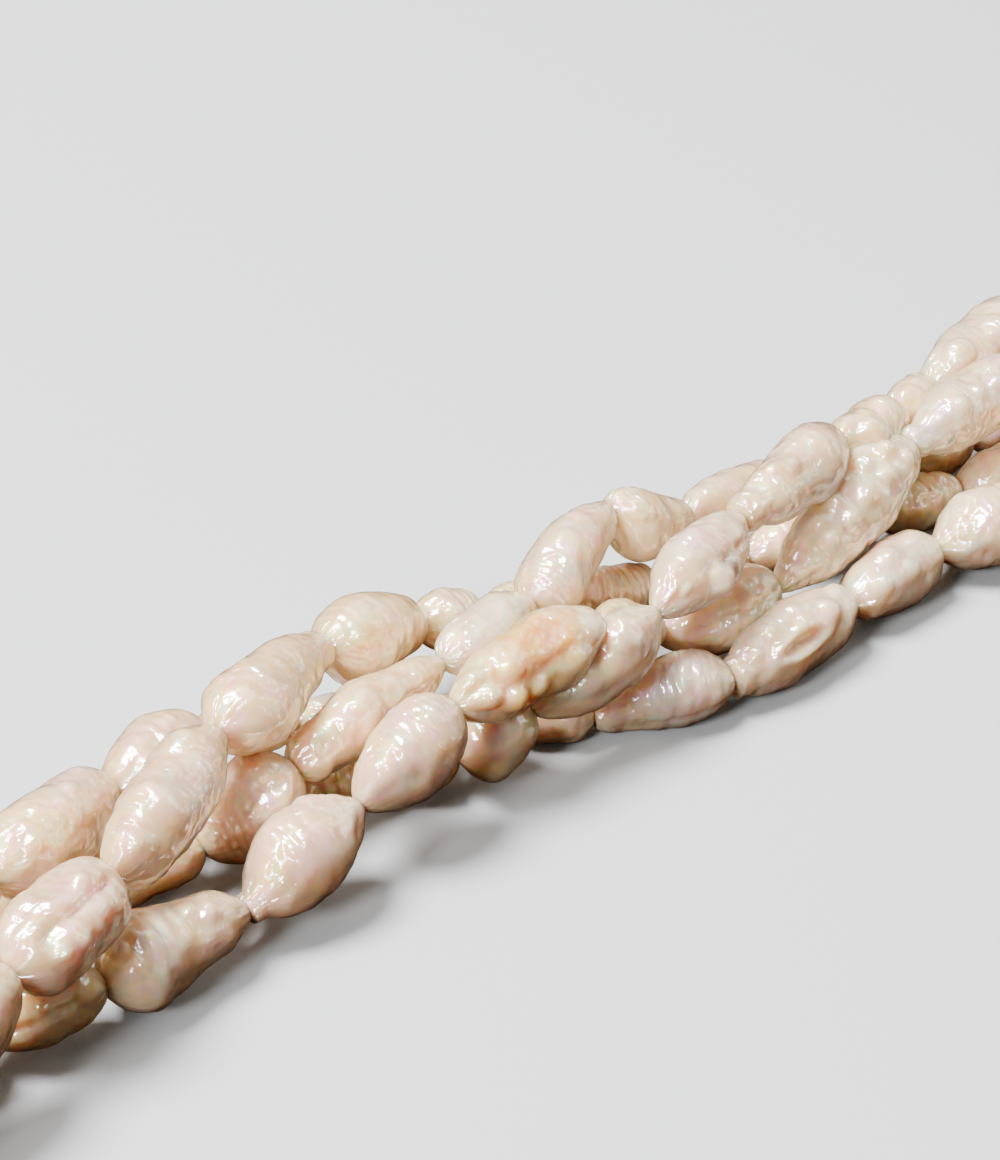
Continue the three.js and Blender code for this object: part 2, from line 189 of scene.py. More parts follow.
# A smooth random field, mostly from -1 to 1: the sum of sine waves, each with its own direction,
# over the root of their count.
def waveField(rng, x, y, z, waveLength, count=7):
    ways = unit(rng.normal(size=(count, 3))) * 2 * np.pi / waveLength
    shifts = rng.uniform(0, 2 * np.pi, count)
    total = 0
    for way, shift in zip(ways, shifts):
        total = total + np.sin(way[0] * x + way[1] * y + way[2] * z + shift)
    return total / count ** 0.5


# How far an angle is from another, given in degrees: from -pi to pi.
def turnFrom(angle, degrees):
    return (angle - np.radians(degrees) + np.pi) % (2 * np.pi) - np.pi


# A soft window: the bell curve of the distance from a place, over its spread.
def bell(distance, spread):
    return np.exp(-(distance / spread) ** 2)


# The square of the distance from a spot on a pearl, along it and round it.
def squareFrom(x, angle, place, degrees, length, girth):
    return (x - (place - 0.5) * length) ** 2 + (girth * turnFrom(angle, degrees)) ** 2


# The larger of two surfaces, with the corner between them rounded over a width.
def softMax(a, b, width):
    gap = np.maximum(width - np.abs(a - b), 0)
    return np.maximum(a, b) + gap ** 2 / (4 * width)


# An outline through six given numbers: their mean, weighted by a bell curve round each place.
def outline(t, numbers):
    weights = bell(t[..., None] - np.array(pearlSkins["outlinePlaces"]), pearlSkins["outlineBlend"])
    return (weights * np.array(numbers)).sum(axis=-1) / weights.sum(axis=-1)


# A step from 0 to 1 with soft ends: 3s^2 - 2s^3.
def softStep(s):
    return s * s * (3 - 2 * s)


# The closing of a pearl's two ends: the root of 1 - |2t - 1| to the power of its bluntness.
def endRound(t, start, end):
    u = np.clip(2 * t - 1, -1, 1)
    power = np.where(u < 0, start, end)
    return np.sqrt(np.maximum(1 - np.abs(u) ** power, 0))


# The look's features, in millimetres out from the surface. x is the place along it, also in mm.
# Waves: ridges |sin|^p of a phase that runs along and round the pearl, within a soft window.
# Cells: domes (1 - d^2)^p over the distance d to the nearest of many scattered spots.
# Bumps: one dome each, or a dent where the height is negative.
# Creases: a sharp groove exp(-|d|) with low lips, d being the turn away from the groove's path.
# Craters: a bell-shaped pit with a raised rim.
def features(look, rng, t, angle, x, warp, length, girth):
    skins = pearlSkins
    rise = 0 * x
    for alongCount, aroundCount, height, place, degrees, placeSpread, degreeSpread in look["waves"]:
        phase = np.pi * alongCount * t + 0.5 * aroundCount * angle + skins["foldWarp"] * warp
        ridge = np.abs(np.sin(phase)) ** skins["ridgePower"] - skins["waveFloor"]
        window = bell(turnFrom(angle, degrees), np.radians(degreeSpread))
        rise = rise + height * ridge * bell(t - place, placeSpread) * window
    for size, height, place, degrees, placeSpread, degreeSpread in look["cells"]:
        count = int(skins["cellCrowd"] * length * 2 * np.pi * girth / size ** 2) + 1
        spotX = rng.uniform(-0.5, 0.5, count) * length
        spotAngle = rng.uniform(0, 2 * np.pi, count)
        nearest = np.full(x.shape, 1e3)
        for cx, ca in zip(spotX, spotAngle):
            across = girth * ((angle - ca + np.pi) % (2 * np.pi) - np.pi)
            nearest = np.minimum(nearest, (x - cx) ** 2 + across ** 2)
        dome = np.maximum(1 - nearest / size ** 2, 0) ** skins["domePower"] - skins["domeFloor"]
        window = bell(turnFrom(angle, degrees), np.radians(degreeSpread))
        rise = rise + height * dome * bell(t - place, placeSpread) * window
    for place, degrees, size, height in look["bumps"]:
        apart = squareFrom(x, angle, place, degrees, length, girth)
        power = skins["bumpPower" if height > 0 else "dentPower"]
        rise = rise + height * np.maximum(1 - apart / size ** 2, 0) ** power
    for degrees, depth, width, placeFrom, placeTo, swing in look["creases"]:
        swung = swing * (t - 0.5 * (placeFrom + placeTo)) / (placeTo - placeFrom)
        path = turnFrom(angle, degrees + swung + skins["creaseWarp"] * warp)
        reach = np.clip(np.minimum(t - placeFrom, placeTo - t) / skins["creaseFade"], 0, 1)
        lips = skins["creaseLip"] * bell(path, np.radians(skins["lipWidth"] * width))
        cut = np.exp(-np.abs(path) / np.radians(width)) - lips
        rise = rise - skins["creaseShare"] * depth * cut * softStep(reach)
    rise = rise * skins["relief"]
    for place, degrees, halfLong, halfWide, depth, rim in look["craters"]:
        across = girth * turnFrom(angle, degrees)
        far = np.sqrt(((x - (place - 0.5) * length) / halfLong) ** 2 + (across / halfWide) ** 2)
        pit = bell(far, skins["pitWidth"]) ** skins["pitPower"] * (far < skins["pitReach"])
        rise = rise - depth * pit
        rise = rise + rim * bell(far - skins["rimPlace"], skins["rimWidth"])
    return rise


# One pearl as a surface of two parameters, t along it and angle round it, where angle 0 faces the
# front and 90 degrees is its upper edge. The half width is the solid's, times the outline, times
# the end rounding, plus the sum of the look's features and of smooth random lumps.
def pearlSkin(core, look, rows, columns, rng):
    skins = pearlSkins
    look = {**plainLook, **look}
    s = np.linspace(0, 1, rows + 2)[:, None]
    t = s - skins["crowding"] * np.sin(2 * np.pi * s)
    angle = np.linspace(0, 2 * np.pi, columns, endpoint=False)[None, :]
    span = core["end"] - core["start"]
    along = span / np.linalg.norm(span)
    length = np.linalg.norm(span) / mm
    facing = unit(viewBack - (viewBack @ along) * along)
    upper = np.cross(facing, along)
    ways = np.cos(angle)[..., None] * facing + np.sin(angle)[..., None] * upper

    halves = [np.sqrt(2 * np.einsum("...i,ij,...j", ways, m, ways)) / mm for m in core["spreads"]]
    girth = float(np.mean(halves))
    slide = softStep(np.clip((t - bellyPlaces[0]) / (bellyPlaces[1] - bellyPlaces[0]), 0, 1))
    half = (halves[0] * (1 - slide) + halves[1] * slide) * skins["fullness"]
    top, low = outline(t, look["top"]), outline(t, look["low"])
    half = half * (0.5 * (top + low) + 0.5 * (top - low) * np.sin(angle))
    flatAngle, flatShare = look["flat"]
    half = half * (1 - flatShare * np.cos(angle - np.radians(flatAngle)) ** 2)
    rounding = endRound(t, look["start"] + skins["blunter"], look["end"] + skins["blunter"])
    half = half * rounding

    x = (t - 0.5) * length + 0 * angle
    y, z = girth * np.cos(angle) + 0 * t, girth * np.sin(angle) + 0 * t
    for place, radius in look["bulbs"]:
        ball = np.sqrt(np.maximum(radius ** 2 - (x - (place - 0.5) * length) ** 2, 0))
        half = softMax(half, ball, skins["bulbBlend"])

    warp = waveField(rng, x, y, z, skins["warpLength"])
    lumps = skins["lumps"] * waveField(rng, x, y, z, skins["lumpLength"])
    lumps = lumps + skins["fineLumps"] * waveField(rng, x, y, z, skins["fineLength"])
    long, wide = skins["crinkleStretch"]
    crinkles = waveField(rng, long * x, wide * y, wide * z, skins["crinkleLength"], 12)
    rise = features(look, rng, t, angle, x, warp, length, girth)
    rise = rise + lumps + skins["crinkles"] * crinkles
    half = np.maximum(half + rise * np.clip(skins["fadeIn"] * rounding, 0, 1), 0)
    half[0], half[-1] = 0, 0

    share = (1 + 2 * skins["overlap"]) * t - skins["overlap"]
    line = core["start"] + share[..., None] * span
    for place, off in zip(bellyPlaces, core["offs"]):
        line = line + bell(t - place, skins["offBlend"])[..., None] * off
    arch = (1 - (2 * t - 1) ** 2)[..., None] * mm
    line = line + arch * (look["bend"][0] * upper + look["bend"][1] * facing)
    points = line + (half * mm)[..., None] * ways
    points[..., 2] = np.maximum(points[..., 2], skins["floorGap"] * mm)
    grain = np.stack([x + rng.uniform(0, 90), y + rng.uniform(0, 90), z], axis=-1)
    colour = nacreColour(rng, look, angle, x, y, z, rise, rounding, length, girth)
    return points, grain, colour


# Tints in linear red, green and blue. Lengths are in millimetres.
nacreColours = {
    "cream": (0.85, 0.59, 0.32), "white": (0.93, 0.77, 0.565), "pink": (0.84, 0.54, 0.395),
    "lilac": (0.72, 0.54, 0.50), "yellow": (0.90, 0.63, 0.25), "shade": (0.62, 0.39, 0.19),
    "rose": (0.96, 0.60, 0.62), "sea": (0.66, 0.84, 0.86),
    "patchy": 0.30,  # how far the tones stray over a pearl
    "play": 0.16, "playLength": 1.2,  # how far rose and sea green come in
    "ragged": 0.5, "raggedLength": 0.9,  # the edges of the patches: stains, tints, painted highlights and painted shade
    "deep": 0.3, "paintedHollowShade": 0.5, "paintedEndShade": 0.5,  # painted shade in hollows and at the ends
}


# The colour of a pearl's nacre: cream, moved by smooth fields towards white, pink, lilac and yellow
# by its tone, by finer ones towards rose and sea green by its shine, and towards a warm painted
# shade in its hollows and at its ends, where the pearls meet.
def nacreColour(rng, look, angle, x, y, z, rise, rounding, length, girth):
    # A mix of a colour and another: c (1 - a) + d a.
    def towards(colour, target, amount):
        amount = np.clip(amount, 0, 1)[..., None]
        return colour * (1 - amount) + np.array(target) * amount

    tints = nacreColours
    pink, lilac, yellow = look["tone"]
    spread = tints["patchy"]
    colour = np.ones(x.shape + (3,)) * np.array(tints["cream"])
    for tint, amount, stray, waveLength in (
            ("white", look["pale"], spread, 4.0), ("pink", pink, spread, 3.0),
            ("lilac", lilac, spread, 2.4), ("yellow", yellow, 0.5 * spread, 3.3)):
        amount = amount + stray * waveField(rng, x, y, z, waveLength)
        colour = towards(colour, tints[tint], amount)
    # Patches: stains and tints, and also painted highlights and painted shade.
    for place, degrees, size, target, strength in look["patches"]:
        apart = squareFrom(x, angle, place, degrees, length, girth)
        ragged = 1 + tints["ragged"] * waveField(rng, x, y, z, tints["raggedLength"])
        colour = towards(colour, target, strength * np.exp(-apart / size ** 2 * ragged))
    play = tints["play"] * look["shine"] * waveField(rng, x, y, z, tints["playLength"])
    colour = towards(colour, tints["rose"], play)
    colour = towards(colour, tints["sea"], -play)
    # Painted shade: darker and warmer in the hollows and towards the ends, where the pearls meet.
    shade = tints["paintedHollowShade"] * np.clip(-rise / tints["deep"], 0, 1)
    return towards(colour, tints["shade"], shade + tints["paintedEndShade"] * (1 - rounding) ** 2)


# The look of each pearl of the front run. Pearls are numbered along their strand from the one
# beside the clasp at +X. Places run from 0 to 1, and angles are in degrees.
# Colours of patches. The brown one is painted shade, on pearls and sides that lie in shadow.
orange, pinkish, silver = (0.96, 0.48, 0.05), (0.84, 0.57, 0.50), (0.68, 0.60, 0.60)
bluish, paintedShadeBrown = (0.70, 0.80, 0.84), (0.64, 0.45, 0.26)

shownLooks = {
    (1, 19): {"tone": (0.1, 0.2, 0.4), "creases": ((10, 0.2, 12, 0.1, 0.9, 20),)},
    # Its brown patch is painted shade on a pearl that lies low.
    (1, 20): {"top": (1, 1.1, 1.1, 1.1, 1.1, 1), "low": (1, 1, 1, 1, 1, 0.9), "end": 3,
        "creases": ((-5, 0.25, 12, 0, 0.7, 25),), "bumps": ((0.82, 20, 1.1, 0.25),),
        "tone": (0.05, 0.35, 0.35), "patches": ((0.3, 0, 2, paintedShadeBrown, 0.5),)},
    (1, 21): {"top": (0.95, 1.04, 1, 0.98, 1.05, 0.85), "low": (0.9, 0.98, 0.86, 0.72, 0.82, 0.75),
        "start": 3, "end": 1.8,
        "waves": ((11, 2, 0.13, 0.36, 30, 0.2, 40), (9, 3, 0.09, 0.25, -15, 0.15, 35),
            (10, 1, 0.07, 0.86, 10, 0.09, 120)),
        "cells": ((0.6, 0.09, 0.5, 20, 0.12, 40),),
        "bumps": ((0.13, 8, 0.8, 0.14), (0.2, 35, 0.6, 0.14), (0.7, 25, 0.7, 0.14),
            (0.6, 42, 0.5, 0.12)),
        "creases": ((20, 0.12, 10, 0.66, 0.9, 60),), "tone": (0.2, 0.3, 0),
        "patches": ((0.35, 25, 1.2, silver, 0.4), (0.85, 10, 1.2, pinkish, 0.3)), "shine": 0.9},
    (1, 22): {"top": (0.7, 1.08, 1.18, 1.15, 1, 0.75), "low": (0.75, 0.98, 1.05, 1, 0.86, 0.7),
        "start": 1.6, "end": 1.8, "bulbs": ((0.05, 0.85),),
        "waves": ((9, 1, 0.09, 0.48, 35, 0.2, 35), (4, 2, 0.05, 0.6, -20, 0.3, 60)),
        "bumps": ((0.74, 70, 0.8, 0.2), (0.86, 55, 0.6, 0.14), (0.62, 10, 0.6, 0.08),
            (0.78, -8, 0.7, 0.1)),
        "tone": (0.35, 0.25, 0.05), "patches": ((0.75, 0, 1.6, silver, 0.35),)},
    (1, 23): {"top": (0.8, 0.95, 0.98, 0.98, 0.98, 0.9), "low": (0.85, 1.02, 1.12, 1.12, 1.02, 0.9),
        "start": 1.9, "end": 2.5, "waves": ((18, 1, 0.045, 0.7, 35, 0.28, 55),),
        "cells": ((0.5, 0.08, 0.62, -15, 0.2, 45),),
        "bumps": ((0.2, 8, 0.9, 0.12), (0.38, -25, 0.9, -0.1)), "tone": (0.4, 0.3, 0),
        "patches": ((0.95, 20, 1.4, pinkish, 0.6), (0.3, -20, 0.9, silver, 0.5))},
    (1, 24): {"top": (0.85, 0.95, 1, 1.02, 1, 0.95), "low": (1, 1.02, 0.95, 0.92, 0.95, 0.9),
        "start": 2.4, "end": 2.6, "flat": (0, 0.06),
        "bumps": ((0.12, -20, 0.95, 0.3), (0.26, -42, 0.8, 0.3), (0.10, 35, 0.8, 0.2),
            (0.88, 0, 1.3, 0.2), (0.42, -45, 0.6, 0.16), (0.3, 5, 0.7, 0.14), (0.7, -30, 1, 0.14)),
        "craters": ((0.58, 30, 1.5, 0.85, 0.12, 0.1),),
        "cells": ((0.42, -0.1, 0.56, 28, 0.22, 38), (0.6, 0.13, 0.25, 20, 0.2, 60)),
        "creases": ((-14, 0.15, 9, 0.22, 0.85, 14), (52, 0.1, 9, 0.1, 0.5, 20)),
        "tone": (0.1, 0, 0.35),
        "patches": ((0.5, 36, 1.3, (0.94, 0.42, 0.02), 1), (0.66, 12, 0.9, orange, 0.8),
            (0.3, -25, 1.4, orange, 0.35), (0.84, 10, 0.9, (0.95, 0.86, 0.78), 0.6))},
    (1, 25): {"waves": ((12, 0, 0.05, 0.5, 0, 0.5, 200),), "tone": (0.1, 0, 0.4)},
    (1, 26): {"pale": 0.8, "top": (0.85, 0.95, 1.1, 1.15, 1.1, 0.95),
        "low": (0.9, 1, 1.1, 1.12, 1.05, 0.9), "end": 2.8, "bend": (-0.3, 0.4),
        "creases": ((2, 0.35, 9, 0.15, 1, -18),), "waves": ((8, 1, 0.05, 0.4, -30, 0.3, 50),),
        "bumps": ((0.3, -30, 0.8, 0.14), (0.6, 34, 0.8, 0.14), (0.8, -30, 0.6, 0.12)),
        "tone": (0.15, 0.05, 0.15), "patches": ((0.6, 2, 0.7, orange, 0.5),)},
    (1, 27): {"pale": 0.85, "top": (0.75, 0.92, 0.98, 1.02, 1.05, 0.9),
        "low": (0.7, 0.95, 1.02, 1.06, 1.02, 0.9), "start": 1.7, "end": 2.4,
        "cells": ((0.72, 0.2, 0.55, 0, 0.5, 120),),
        "bumps": ((0.22, 22, 0.5, 0.16), (0.32, 26, 0.55, 0.2), (0.43, 24, 0.55, 0.24),
            (0.55, 34, 0.6, 0.28), (0.67, 34, 0.65, 0.28), (0.81, 26, 0.7, 0.28),
            (0.3, -10, 0.5, 0.16), (0.42, -8, 0.55, 0.18), (0.55, -2, 0.6, 0.2),
            (0.7, -4, 0.65, 0.22), (0.86, -8, 0.6, 0.2)),
        "waves": ((22, 0, 0.06, 0.14, 0, 0.1, 200), (9, 1, 0.09, 0.55, -40, 0.35, 50)),
        "tone": (0.15, 0.05, 0.1)},
    # The bluish patch on its end bulb is a painted highlight.
    (1, 28): {"pale": 0.9, "top": (0.75, 1, 1.05, 1.05, 1, 1), "low": (0.75, 1, 1.05, 1.05, 1, 1),
        "bulbs": ((0.07, 1),), "cells": ((0.7, 0.28, 0.6, 0, 0.45, 160),),
        "bumps": ((0.3, 10, 0.6, 0.16), (0.45, 16, 0.6, 0.18), (0.6, 10, 0.6, 0.18),
            (0.75, 14, 0.6, 0.18)),
        "tone": (0.05, 0.2, 0.05), "patches": ((0.06, 0, 1, bluish, 0.7),), "shine": 0.9},
    (2, 19): {"creases": ((15, 0.3, 12, 0.1, 0.9, 10),), "tone": (0.4, 0.1, 0.1)},
    (2, 20): {"top": (0.92, 0.94, 0.94, 0.96, 0.95, 0.85),
        "low": (0.92, 0.95, 0.95, 0.95, 0.95, 0.88), "end": 2.8,
        "creases": ((2, 0.6, 12, 0.1, 0.85, 18), (50, 0.25, 12, 0, 0.5, -10)),
        "bumps": ((0.75, 32, 1.3, 0.2), (0.3, -30, 1.3, 0.2), (0.62, 22, 0.5, 0.12),
            (0.2, -28, 0.4, 0.12), (0.35, -30, 0.4, 0.12), (0.5, -34, 0.4, 0.1)),
        "waves": ((9, 0, 0.05, 0.8, -30, 0.2, 40), (12, 1, 0.05, 0.5, 35, 0.2, 40)),
        "tone": (0.45, 0.1, 0), "patches": ((0.55, 2, 1.4, pinkish, 0.6),)},
    (2, 21): {"top": (0.82, 0.9, 0.96, 1, 0.96, 0.85), "low": (0.92, 1, 1.04, 1.02, 0.95, 0.85),
        "start": 2.6,
        "bumps": ((0.12, 15, 1.1, 0.16), (0.14, -20, 0.9, 0.1), (0.76, 35, 0.7, 0.12),
            (0.42, 28, 0.5, 0.08), (0.52, -12, 1.4, -0.1)),
        "creases": ((-58, 0.12, 9, 0.25, 0.9, 16),),
        "waves": ((4, 3, 0.04, 0.7, 10, 0.3, 60), (13, 0, 0.03, 0.7, 35, 0.15, 40)),
        "tone": (0.25, 0.1, 0.15),
        "patches": ((0.5, -8, 1.3, silver, 0.6), (0.62, -45, 1.6, pinkish, 0.5))},
    (2, 22): {"top": (0.8, 0.86, 0.9, 0.93, 0.9, 0.7), "low": (0.9, 0.98, 0.98, 0.95, 0.9, 0.72),
        "start": 2.5, "bulbs": ((0.9, 1.15),), "cells": ((0.95, -0.13, 0.42, 20, 0.35, 80),),
        "bumps": ((0.88, 0, 0.7, 0.1),), "tone": (0.35, 0.1, 0.05)},
    (2, 23): {"top": (0.85, 1.02, 1.1, 1.02, 0.96, 0.85), "low": (0.85, 1.05, 1.15, 1, 0.85, 0.8),
        "end": 3, "waves": ((15, 1, 0.05, 0.14, 10, 0.1, 100), (8, 1, 0.02, 0.5, 20, 0.3, 60)),
        "bumps": ((0.86, 5, 1.2, 0.14), (0.16, 0, 0.5, 0.12), (0.6, 20, 1.2, 0.08)),
        "tone": (0, 0.05, 0.2)},
    (2, 24): {"pale": 0.6, "top": (1, 1.1, 1.15, 1.1, 1, 0.9), "low": (1, 1.15, 1.15, 1.1, 1, 0.9),
        "start": 2.6, "waves": ((9, 3, 0.08, 0.75, 40, 0.3, 60), (6, -2, 0.05, 0.6, -20, 0.3, 60)),
        "bumps": ((0.35, 15, 0.6, 0.12),), "tone": (0.15, 0, 0.3)},
    (2, 25): {"pale": 0.6, "top": (0.95, 1.05, 1.1, 1.1, 1, 0.9),
        "low": (1, 1.1, 1.15, 1.1, 1, 0.9), "waves": ((15, 0, 0.07, 0.5, 30, 0.6, 130),),
        "tone": (0.1, 0.05, 0.2)},
    (2, 26): {"waves": ((13, 0, 0.09, 0.55, 20, 0.5, 130),), "tone": (0.2, 0.2, 0.1)},
    (2, 27): {"waves": ((10, 1, 0.08, 0.5, 20, 0.5, 130),), "tone": (0.1, 0.45, 0.1)},
    (2, 28): {"pale": 0.6, "top": (0.8, 1.05, 1.1, 1, 0.95, 0.9),
        "cells": ((0.6, 0.14, 0.4, 30, 0.4, 90),), "waves": ((8, 2, 0.06, 0.4, 10, 0.3, 60),),
        "tone": (0.1, 0.25, 0.3)},
    (2, 29): {"pale": 0.8, "waves": ((6, 0, 0.07, 0.5, 20, 0.4, 90),), "tone": (0.1, 0.05, 0.25),
        "shine": 0.9},
    (2, 30): {"pale": 0.6, "cells": ((0.8, 0.1, 0.5, 20, 0.5, 120),), "tone": (0.2, 0.15, 0.1)},
    (3, 21): {"tone": (0.05, 0, 0.5)},
    (3, 22): {"top": (0.8, 0.95, 1.05, 1.1, 1.1, 0.95), "low": (0.9, 1.05, 1.1, 1.05, 1, 0.85),
        "end": 3, "flat": (0, 0.12), "craters": ((0.62, 5, 1.7, 0.9, 0.22, 0.14),),
        "creases": ((0, 0.2, 9, 0.35, 0.85, -20),),
        "waves": ((13, 3, 0.06, 0.28, -15, 0.2, 50), (10, -2, 0.05, 0.6, 25, 0.2, 30)),
        "tone": (0.3, 0.1, 0.1),
        "patches": ((0.6, 0, 1, pinkish, 0.8), (0.5, 25, 0.8, bluish, 0.4),
            (0.2, -20, 1.4, pinkish, 0.4))},
    (3, 23): {"top": (1.15, 1, 1.02, 1.02, 0.92, 0.75), "low": (0.75, 0.95, 1, 1, 0.92, 0.75),
        "end": 1.9, "start": 2.6, "bulbs": ((0.12, 1.3),), "bend": (0.1, 0.1),
        "bumps": ((0.44, 12, 0.9, 0.14), (0.3, 5, 0.6, 0.1), (0.6, -20, 0.7, 0.1),
            (0.62, 25, 0.7, 0.08), (0.14, 5, 0.4, -0.1)),
        "creases": ((-32, 0.12, 9, 0.35, 0.9, 8),), "tone": (0.1, 0.05, 0.2),
        "patches": ((0.16, 0, 0.5, pinkish, 0.6),)},
    (3, 24): {"pale": 0.7, "top": (0.9, 1, 1.05, 1.05, 1, 0.9),
        "cells": ((0.9, -0.06, 0.5, 20, 0.5, 90),), "tone": (0, 0.15, 0),
        "patches": ((0.4, 20, 1.5, bluish, 0.5),), "shine": 0.9},
    (3, 25): {"pale": 0.6, "top": (1, 1, 1, 0.98, 0.92, 0.72), "low": (1, 1, 0.97, 0.95, 0.9, 0.72),
        "start": 3, "end": 1.9,
        "waves": ((22, 0, 0.07, 0.14, -10, 0.1, 110), (1, 9, 0.04, 0.5, -10, 0.3, 60)),
        "cells": ((0.48, 0.12, 0.2, -5, 0.13, 60),), "creases": ((-38, 0.12, 9, 0.3, 0.95, 6),),
        "bumps": ((0.42, 20, 0.8, 0.1), (0.36, -2, 0.5, 0.08), (0.62, 20, 0.6, 0.08)),
        "tone": (0.3, 0.1, 0.05), "patches": ((0.25, -25, 1.1, silver, 0.5),)},
    (3, 26): {"pale": 0.6, "top": (0.85, 0.9, 0.92, 0.92, 0.88, 0.75),
        "low": (0.85, 1, 1.05, 1, 0.9, 0.75), "bend": (-0.7, 0.2), "start": 2.4, "end": 2,
        "waves": ((26, 0, 0.035, 0.2, 65, 0.14, 35), (24, 1, 0.03, 0.75, 60, 0.14, 35)),
        "bumps": ((0.14, 25, 0.5, 0.14), (0.12, 0, 0.55, 0.14), (0.22, 12, 0.4, 0.1),
            (0.4, -25, 0.3, -0.1), (0.52, -2, 0.25, -0.07)),
        "tone": (0.1, 0, 0.2)},
    (3, 27): {"pale": 0.5, "tone": (0.1, 0, 0.1)},
    (3, 28): {"waves": ((6, 2, 0.06, 0.5, 0, 0.5, 100),), "tone": (0.05, 0, 0.5)},
    # The brown patch in its crater is painted shade in the hollow.
    (3, 29): {"top": (0.9, 1.1, 1.15, 1.1, 1, 0.9), "low": (0.95, 1.1, 1.15, 1.1, 1, 0.9), "end": 3,
        "start": 3, "craters": ((0.45, 5, 1.1, 0.9, 0.5, 0.12),),
        "cells": ((0.32, -0.12, 0.45, 5, 0.25, 35),), "tone": (0.2, 0, 0.2),
        "patches": ((0.45, 5, 1, paintedShadeBrown, 0.6),)},
    (3, 30): {"pale": 0.6, "top": (0.9, 1, 1.05, 1.1, 1.05, 1),
        "creases": ((-5, 0.12, 16, 0.1, 0.9, 10),), "tone": (0.35, 0.45, 0),
        "patches": ((0.3, 10, 2, (0.74, 0.56, 0.66), 0.5),)},
    (4, 22): {"tone": (0.05, 0, 0.5)},
    (4, 23): {"waves": ((7, 3, 0.09, 0.5, 10, 0.5, 110),), "tone": (0.05, 0, 0.5)},
    (4, 24): {"waves": ((7, 2, 0.06, 0.5, 10, 0.5, 110),), "tone": (0.05, 0, 0.5)},
    # Its brown patch, on its lower side, is painted shade.
    (4, 25): {"top": (0.9, 1, 1.05, 1.05, 1, 0.9), "low": (1, 1.12, 1.15, 1.1, 1, 0.9),
        "start": 2.6, "end": 2.4, "tone": (0.15, 0.2, 0.25),
        # The lilac patch is a painted highlight streak.
        "patches": ((0.55, 15, 1.2, (0.66, 0.58, 0.74), 0.55), (0.3, -40, 2, paintedShadeBrown, 0.2))},
    (4, 26): {"pale": 0.4, "top": (0.8, 0.9, 1, 1.08, 1.08, 0.85),
        "low": (0.85, 1, 1.1, 1.1, 1, 0.8), "bend": (-0.3, 0.2), "start": 2, "end": 1.9,
        "bumps": ((0.16, 10, 0.8, 0.18), (0.34, -8, 0.9, 0.16), (0.68, 25, 1.2, 0.22),
            (0.82, 10, 0.6, 0.14), (0.55, 18, 0.28, -0.12), (0.74, -10, 0.5, 0.12),
            (0.6, 40, 0.45, 0.12)),
        "creases": ((35, 0.2, 12, 0.05, 0.55, 16), (-52, 0.14, 9, 0.3, 0.9, -10)),
        "waves": ((12, 2, 0.07, 0.7, 30, 0.2, 45),), "cells": ((0.5, 0.12, 0.75, 10, 0.2, 60),),
        "patches": ((0.28, -20, 1.2, silver, 0.4), (0.2, -50, 1.6, orange, 0.25))},
    (4, 27): {"pale": 0.6, "top": (0.8, 0.95, 0.98, 0.98, 0.95, 0.8),
        "low": (0.72, 0.82, 0.95, 1.05, 1, 0.7), "start": 1.7, "end": 1.8, "flat": (0, 0.12),
        "waves": ((27, 5, 0.055, 0.56, 22, 0.13, 32), (3, 6, 0.05, 0.75, -20, 0.2, 50)),
        "bumps": ((0.42, -46, 1, 0.34), (0.36, -60, 0.7, 0.15), (0.1, 10, 0.4, 0.12),
            (0.16, -12, 0.4, 0.12), (0.5, 20, 1.5, 0.1)),
        "creases": ((-22, 0.24, 8, 0.35, 0.95, 10), (62, 0.12, 7, 0.4, 0.95, 0)),
        "tone": (0.4, 0.15, 0),
        "patches": ((0.45, 45, 1.3, (0.86, 0.64, 0.70), 0.5), (0.1, 0, 1, orange, 0.25))},
    (4, 28): {"pale": 0.6, "top": (0.72, 0.82, 0.85, 0.92, 0.95, 0.85),
        "low": (0.8, 0.9, 1, 1.02, 0.98, 0.85), "end": 2.8, "start": 1.8, "bend": (0, 0.2),
        "bulbs": ((0.08, 1.15),),
        "bumps": ((0.1, -12, 0.5, 0.1), (0.3, 40, 0.7, 0.15), (0.38, 20, 0.7, 0.14),
            (0.7, 10, 1.8, 0.12)),
        "creases": ((5, 0.2, 14, 0.28, 0.6, -35), (-58, 0.18, 8, 0.3, 0.95, 0)),
        "tone": (0.35, 0.05, 0.1),
        "patches": ((0.55, -30, 1.2, (0.80, 0.62, 0.44), 0.4), (0.75, 40, 1.4, pinkish, 0.35))},
    (4, 29): {"pale": 0.7, "top": (0.9, 1.05, 1, 1.1, 1.1, 0.9),
        "low": (1, 1.2, 1.15, 1.15, 1.1, 0.9), "bend": (-0.35, 0), "end": 2.8,
        "bumps": ((0.25, -5, 1, 0.3), (0.6, 30, 1.1, 0.32), (0.35, 45, 0.6, 0.15),
            (0.85, 0, 0.7, 0.2)),
        "tone": (0.15, 0, 0.2), "patches": ((0.9, 10, 1, orange, 0.3),)},
    (4, 30): {"pale": 0.7, "cells": ((0.8, 0.18, 0.5, 0, 0.5, 150),), "tone": (0.1, 0, 0.3)},
    (4, 31): {"pale": 0.9, "bumps": ((0.2, 20, 1.1, 0.3), (0.5, 5, 1.2, 0.3), (0.82, 25, 1.1, 0.3)),
        "waves": ((9, 0, 0.05, 0.4, -20, 0.4, 60),), "tone": (0.1, 0.15, 0.05), "shine": 0.8},
    (5, 19): {"tone": (0.2, 0, 0.2)},
    (5, 20): {"pale": 0.6, "top": (0.95, 1, 1.05, 1.05, 1, 0.9),
